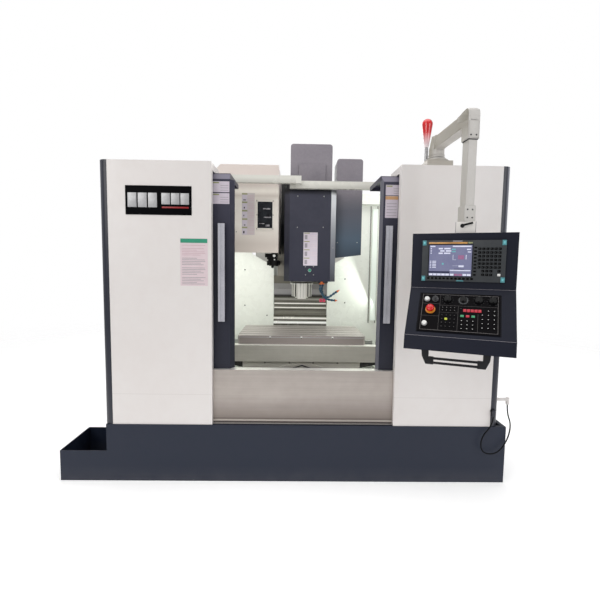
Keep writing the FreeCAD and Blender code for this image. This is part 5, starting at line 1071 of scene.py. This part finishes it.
def makePanelTrim(look):
    trim = pieceMaker("panelTrim", displayFace)
    # the light lines along the fold and the knee are painted highlights on the folded edges
    for face, v in ((displayFace, look["foldV"]), (consoleFace, look["kneeV"])):
        trim.at(face).block(-look["half"], v, look["half"], v + look["line"], -0.0006, 0.0004, "signGrey")
    trim.border(-0.2, -0.270, 0.188, -0.034, -0.0006, 0.0012, 0.002, "keyDark")
    trim.end("operator_panel")
    swivel = pieceMaker("swivelBox", panelFrame @ shift((0, -0.045, 0)) @ flatUp)
    for u in look["gaps"]:
        swivel.block(u, 1.534, u + 0.0025, 1.5895, -0.001, 0.0006, "signGrey", 0.0003)
    swivel.disc((-0.016, 1.569, 0), 0.0105, 0.0003, "machineBlack")
    swivel.end("operator_panel")


makePanelTrim(trimLook)

# hollow, so that it clears its stem's boss when pushed
stopLook = {"at": (-0.141, -0.138), "foot": 0.014, "profile": [
    (0.0124, 0.0110), (0.0128, 0), (0.0190, 0.0015), (0.0205, 0.005), (0.0200, 0.011), (0.0170, 0.0155),
    (0.0110, 0.0185), (0.0040, 0.0195)]}


def makeStop(look):
    head = pieceMaker("stopMushroom", consoleFace)
    head.lathe((*look["at"], look["foot"]), look["profile"], "stopRed", 40)
    thing = head.end("stop_button", 60)
    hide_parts("emergency_stop")


makeStop(stopLook)

gripBarLook = {"left": -0.140, "right": 0.108, "foot": 0.946, "drop": 0.070, "face": -0.238, "rod": 0.0062,
               "lifts": (0.007, 0.029)}


def makeGripBar(look):
    place = panelFrame @ shift((0, look["face"], 0)) @ flatUp
    bar = pieceMaker("gripBar", place)
    foot, low = look["foot"], look["foot"] - look["drop"]
    for x, side in ((look["left"], -1), (look["right"], 1)):
        bar.outline([(x, foot), (x + side * 0.034, foot), (x + side * 0.031, foot - 0.030), (x + side * 0.013, low),
                     (x - side * 0.024, low), (x - side * 0.024, low + 0.036), (x, low + 0.036)], -0.012, 0.012,
                    "handleBlack", 0.002)
    rod, length = look["rod"], look["right"] - look["left"] - 0.036
    for lift in look["lifts"]:
        bar.at(place @ shift((look["left"] + 0.018, low + lift, 0)) @ turned(90, "Y"))
        bar.lathe((0, 0, 0), [(rod, 0), (rod, length * 0.5), (rod, length)], "handleBlack", 20)
    thing = bar.end("operator_panel")
    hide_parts("pendant_handle")


makeGripBar(gripBarLook)
print("panel dressed")

# fittings of the panel's arm

armFrame = shift((0.812, -1.085, 0)) @ turned(2.2)
armLook = {"screw": 0.0042, "hoodRadius": 0.030, "elbowScrews": [(-0.014, 2.024), (0.014, 2.024)],
           "couplingScrews": [(-0.013, 1.652), (0.013, 1.652), (-0.013, 1.611), (0.013, 1.611)],
           "rings": ((2.0125, 2.022, 0.062), (2.030, 2.036, 0.0505), (2.044, 2.0475, 0.0495)),
           "elbow": [(0.0265, 2.0085, 2.094, 0.0016, 0.0014), (0.0165, 2.096, 2.104, 0.0006, 0.0005),
                     (0.0225, 2.108, 2.1235, 0.0008, 0.0008)]}


def makeArmFittings(look):
    fittings = pieceMaker("armFittings", armFrame @ shift((0, -0.493, 0)) @ flatUp)
    for half, low, high, lift, edge in look["elbow"]:
        fittings.block(-half, low, half, high, -0.0005, lift, "armGrey", edge)
    fittings.screws(look["elbowScrews"], look["screw"], "screwBlack", 0.0016)
    fittings.at(armFrame @ shift((0, -0.456, 0)))
    fittings.block(-0.0255, -0.0355, 0.0255, 0.0355, 2.0015, 2.0062, "screwBlack", 0.001)
    fittings.block(-0.0275, -0.0372, 0.0275, 0.0372, 1.668, 1.6745, "armGrey", 0.002)
    fittings.at(armFrame @ shift((0, -0.495, 0)) @ flatUp).screws(look["couplingScrews"], look["screw"], "screwBlack")
    fittings.at(armFrame).block(-0.0325, -0.066, 0.0325, -0.036, 2.0755, 2.1545, "armGrey", 0.005)
    for low, high, radius in look["rings"]:
        fittings.disc((0, 0, low), radius, high - low, "armGrey", 48, 0.002)
    fittings.disc((0, 0, 2.0245), 0.0482, 0.0025, "screwBlack", 48)
    r, (front, top) = look["hoodRadius"], (-0.4945, 2.164)
    turns = [math.radians(15 * k) for k in range(6, -1, -1)]
    arc = [(front + r * (1 - math.sin(a)), top - r * (1 - math.cos(a))) for a in turns]
    fittings.at(armFrame @ Matrix(((0, 0, 1, 0), (1, 0, 0, 0), (0, 1, 0, 0), (0, 0, 0, 1))))
    fittings.outline([(front, 2.100), *arc, (-0.425, 2.1620), (-0.390, 2.1555), (-0.350, 2.1530), (-0.350, 2.120),
                      (-0.430, 2.100)], -0.0335, 0.0335, "armGrey", 0.016)
    fittings.end("panel_arm")
    base = pieceMaker("armBaseScrews", armFrame)
    turns = [math.radians(30 + 60 * step) for step in range(6)]
    base.screws([(0.067 * math.cos(a), 0.067 * math.sin(a)) for a in turns], 0.005, w=2.012)
    base.end("machine_frame")


makeArmFittings(armLook)
print("arm dressed")

# hatch screws on the sides, louvres and screws at the rear

rearLook = {"doorY": 1.1266, "slots": [(-0.15, 0.72), (0.15, 0.72), (-0.15, 1.80), (0.15, 1.80)], "rows": 7,
            "step": 0.020, "half": 0.062, "hatch": (-0.715, 0.662, -0.095, 1.482), "sideX": 1.226, "foldY": 0.415,
            "foldX": 0.76, "screw": 0.006,
            "hood": [(0, 0.0155), (0.0005, 0.0155), (0.0070, 0.0052), (0.0064, 0.0046), (0, 0.013)]}


def makeRearFittings(look):
    rear = surfaceFrame((0, look["doorY"], 0), (-1, 0, 0))
    louvres = pieceMaker("cabinetLouvres", rear, "cabinetSheet", "plateBlack")
    half, screw = look["half"], look["screw"]
    for u, v in look["slots"]:
        for row in range(look["rows"]):
            high = v + row * look["step"]
            louvres.at(rear).block(u - half, high, u + half, high + 0.005, -0.0005, 0.0004, "plateBlack")
            louvres.at(rear @ Matrix(((0, 0, 1, u), (0, 1, 0, high), (1, 0, 0, 0), (0, 0, 0, 1))))
            louvres.outline(look["hood"], -half, half, "cabinetSheet")
    louvres.at(rear).screws([(u, v) for v in (0.66, 1.32, 1.98) for u in (-0.28, 0.28)], screw)
    louvres.end("rear_door")
    hatches = pieceMaker("hatchScrews", rear, "screwZinc", "lineGrey")
    for side in (-1, 1):
        u0, v0, u1, v1 = look["hatch"]
        if side < 0:
            u0, u1 = -u1, -u0
        hatches.at(surfaceFrame((side * look["sideX"], 0, 0), (0, side, 0)))
        for a, b, c, d in ((u0, v0, u1, v0 + 0.002), (u0, v1 - 0.002, u1, v1), (u0, v0, u0 + 0.002, v1),
                           (u1 - 0.002, v0, u1, v1)):
            hatches.block(a, b, c, d, 0.0002, 0.0022, "lineGrey")
        rows, columns = (v0 + 0.03, (v0 + v1) / 2, v1 - 0.03), (u0 + 0.02, u1 - 0.02)
        hatches.screws([(u, v) for v in rows for u in columns], screw, w=0.0015)
        for v in (0.50, 0.90, 1.30, 1.70):
            hatches.at(surfaceFrame((side * look["foldX"], look["foldY"], v), (-1, 0, 0))).screws([(0, 0)], screw)
    hatches.end("machine_frame")


makeRearFittings(rearLook)
print("rear and sides dressed")

# studio

floorLook = {"half": 40.0, "fadeFrom": 2.4, "fadeTo": 7.5,
             "finish": mix((246, 246, 246), (240, 240, 241), (0.75, 0.85), 0.3, 0.8, specular=0.1, glow=0.37)}


def makeFloor(look):
    mesh = bpy.data.meshes.new("studioFloor")
    h = look["half"]
    mesh.from_pydata([(-h, -h, 0), (h, -h, 0), (h, h, 0), (-h, h, 0)], [], [(0, 1, 2, 3)])
    material = makeFinish("studioFloor", look["finish"])
    g = treeTools(material.node_tree)             # the floor fades into the white behind it
    reach = g.vectors("LENGTH", g.add("TexCoord").outputs["Object"])
    fade = g.spread(reach, look["fadeFrom"], look["fadeTo"], 1.0, 0.0, interpolation_type="SMOOTHSTEP")
    g.put(fade, next(node for node in g.tree.nodes if node.type == "BSDF_PRINCIPLED").inputs["Alpha"])
    mesh.materials.append(material)
    floor = bpy.data.objects.new("studioFloor", mesh)
    scene.collection.objects.link(floor)


makeFloor(floorLook)

# place, aim, size, power and colour; a hidden one lights the room, but is neither seen nor mirrored
lightLook = {
    "overheadSoft": ((0.0, -1.2, 5.2), (0, -0.4, 1.0), (5.0, 4.0), 78.0, (1, 0.99, 0.98), False),
    "frontLeftSoft": ((-3.6, -5.4, 3.2), (0, -0.8, 1.1), (2.6, 2.6), 80.0, (1, 0.98, 0.96), False),
    "frontRightSoft": ((3.8, -5.0, 2.8), (0.2, -0.8, 1.1), (2.2, 2.6), 58.0, (0.97, 0.98, 1), False),
    "rearSoft": ((0.5, 5.2, 3.6), (0, 0.6, 1.1), (4.0, 2.6), 90.0, (1, 1, 1), False),
    "shopCeiling": ((0.0, -0.15, 3.0), (0, -0.1, 1.0), (3.2, 2.2), 35.0, (1, 1, 0.97), True),
    "leftBayFill": ((-0.46, -0.42, 1.34), (-0.60, 0.3, 1.08), (0.5, 0.2), 3.6, (1, 1, 0.97), True),
    "bayFill": ((0.0, -1.12, 1.06), (0, 0.3, 1.0), (0.8, 0.4), 4.2, (1, 1, 0.98), True),
    "upperBayFill": ((0.66, -0.30, 1.78), (0.72, 0.34, 1.84), (0.3, 0.3), 1.3, (1, 1, 0.97), True),
    "workLightSpill": ((0.60, 0.20, 1.45), (-0.3, -0.4, 1.1), (0.10, 1.0), 4.0, (0.93, 1.0, 0.92), True),
}


def makeLights(look):
    for name, (place, aim, size, power, color, hidden) in look.items():
        lamp = bpy.data.lights.new(name, "AREA")
        lamp.shape, lamp.energy, lamp.color = "RECTANGLE", power, color
        lamp.size, lamp.size_y = size
        thing = bpy.data.objects.new(name, lamp)
        thing.location, thing.rotation_mode = place, "QUATERNION"
        thing.rotation_quaternion = (Vector(aim) - Vector(place)).to_track_quat("-Z", "Y")
        if hidden:
            thing.visible_camera = thing.visible_glossy = False
        scene.collection.objects.link(thing)


worldLook = {"white": (1, 1, 1, 1), "strength": 0.58, "seen": 1.0}


def makeWorld(look):
    world = bpy.data.worlds.new("paleStudio")
    world.use_nodes = True
    g = treeTools(world.node_tree)
    g.tree.nodes.clear()
    up = g.add("SeparateXYZ", {0: g.add("TexCoord").outputs["Generated"]}).outputs[2]
    level = g.times(g.spread(up, -0.4, 0.9, 0.55, 1.0), look["strength"])
    soft = g.add("Background", {"Color": look["white"], "Strength": level})
    clean = g.add("Background", {"Color": look["white"], "Strength": look["seen"]})
    direct = g.add("LightPath").outputs["Is Camera Ray"]
    both = g.add("MixShader", {0: direct, 1: soft.outputs[0], 2: clean.outputs[0]})
    g.add("OutputWorld", {"Surface": both.outputs[0]})
    scene.world = world


makeLights(lightLook)
makeWorld(worldLook)
scene.view_settings.view_transform = "Standard"
scene.view_settings.look = "None"
print("studio lit")
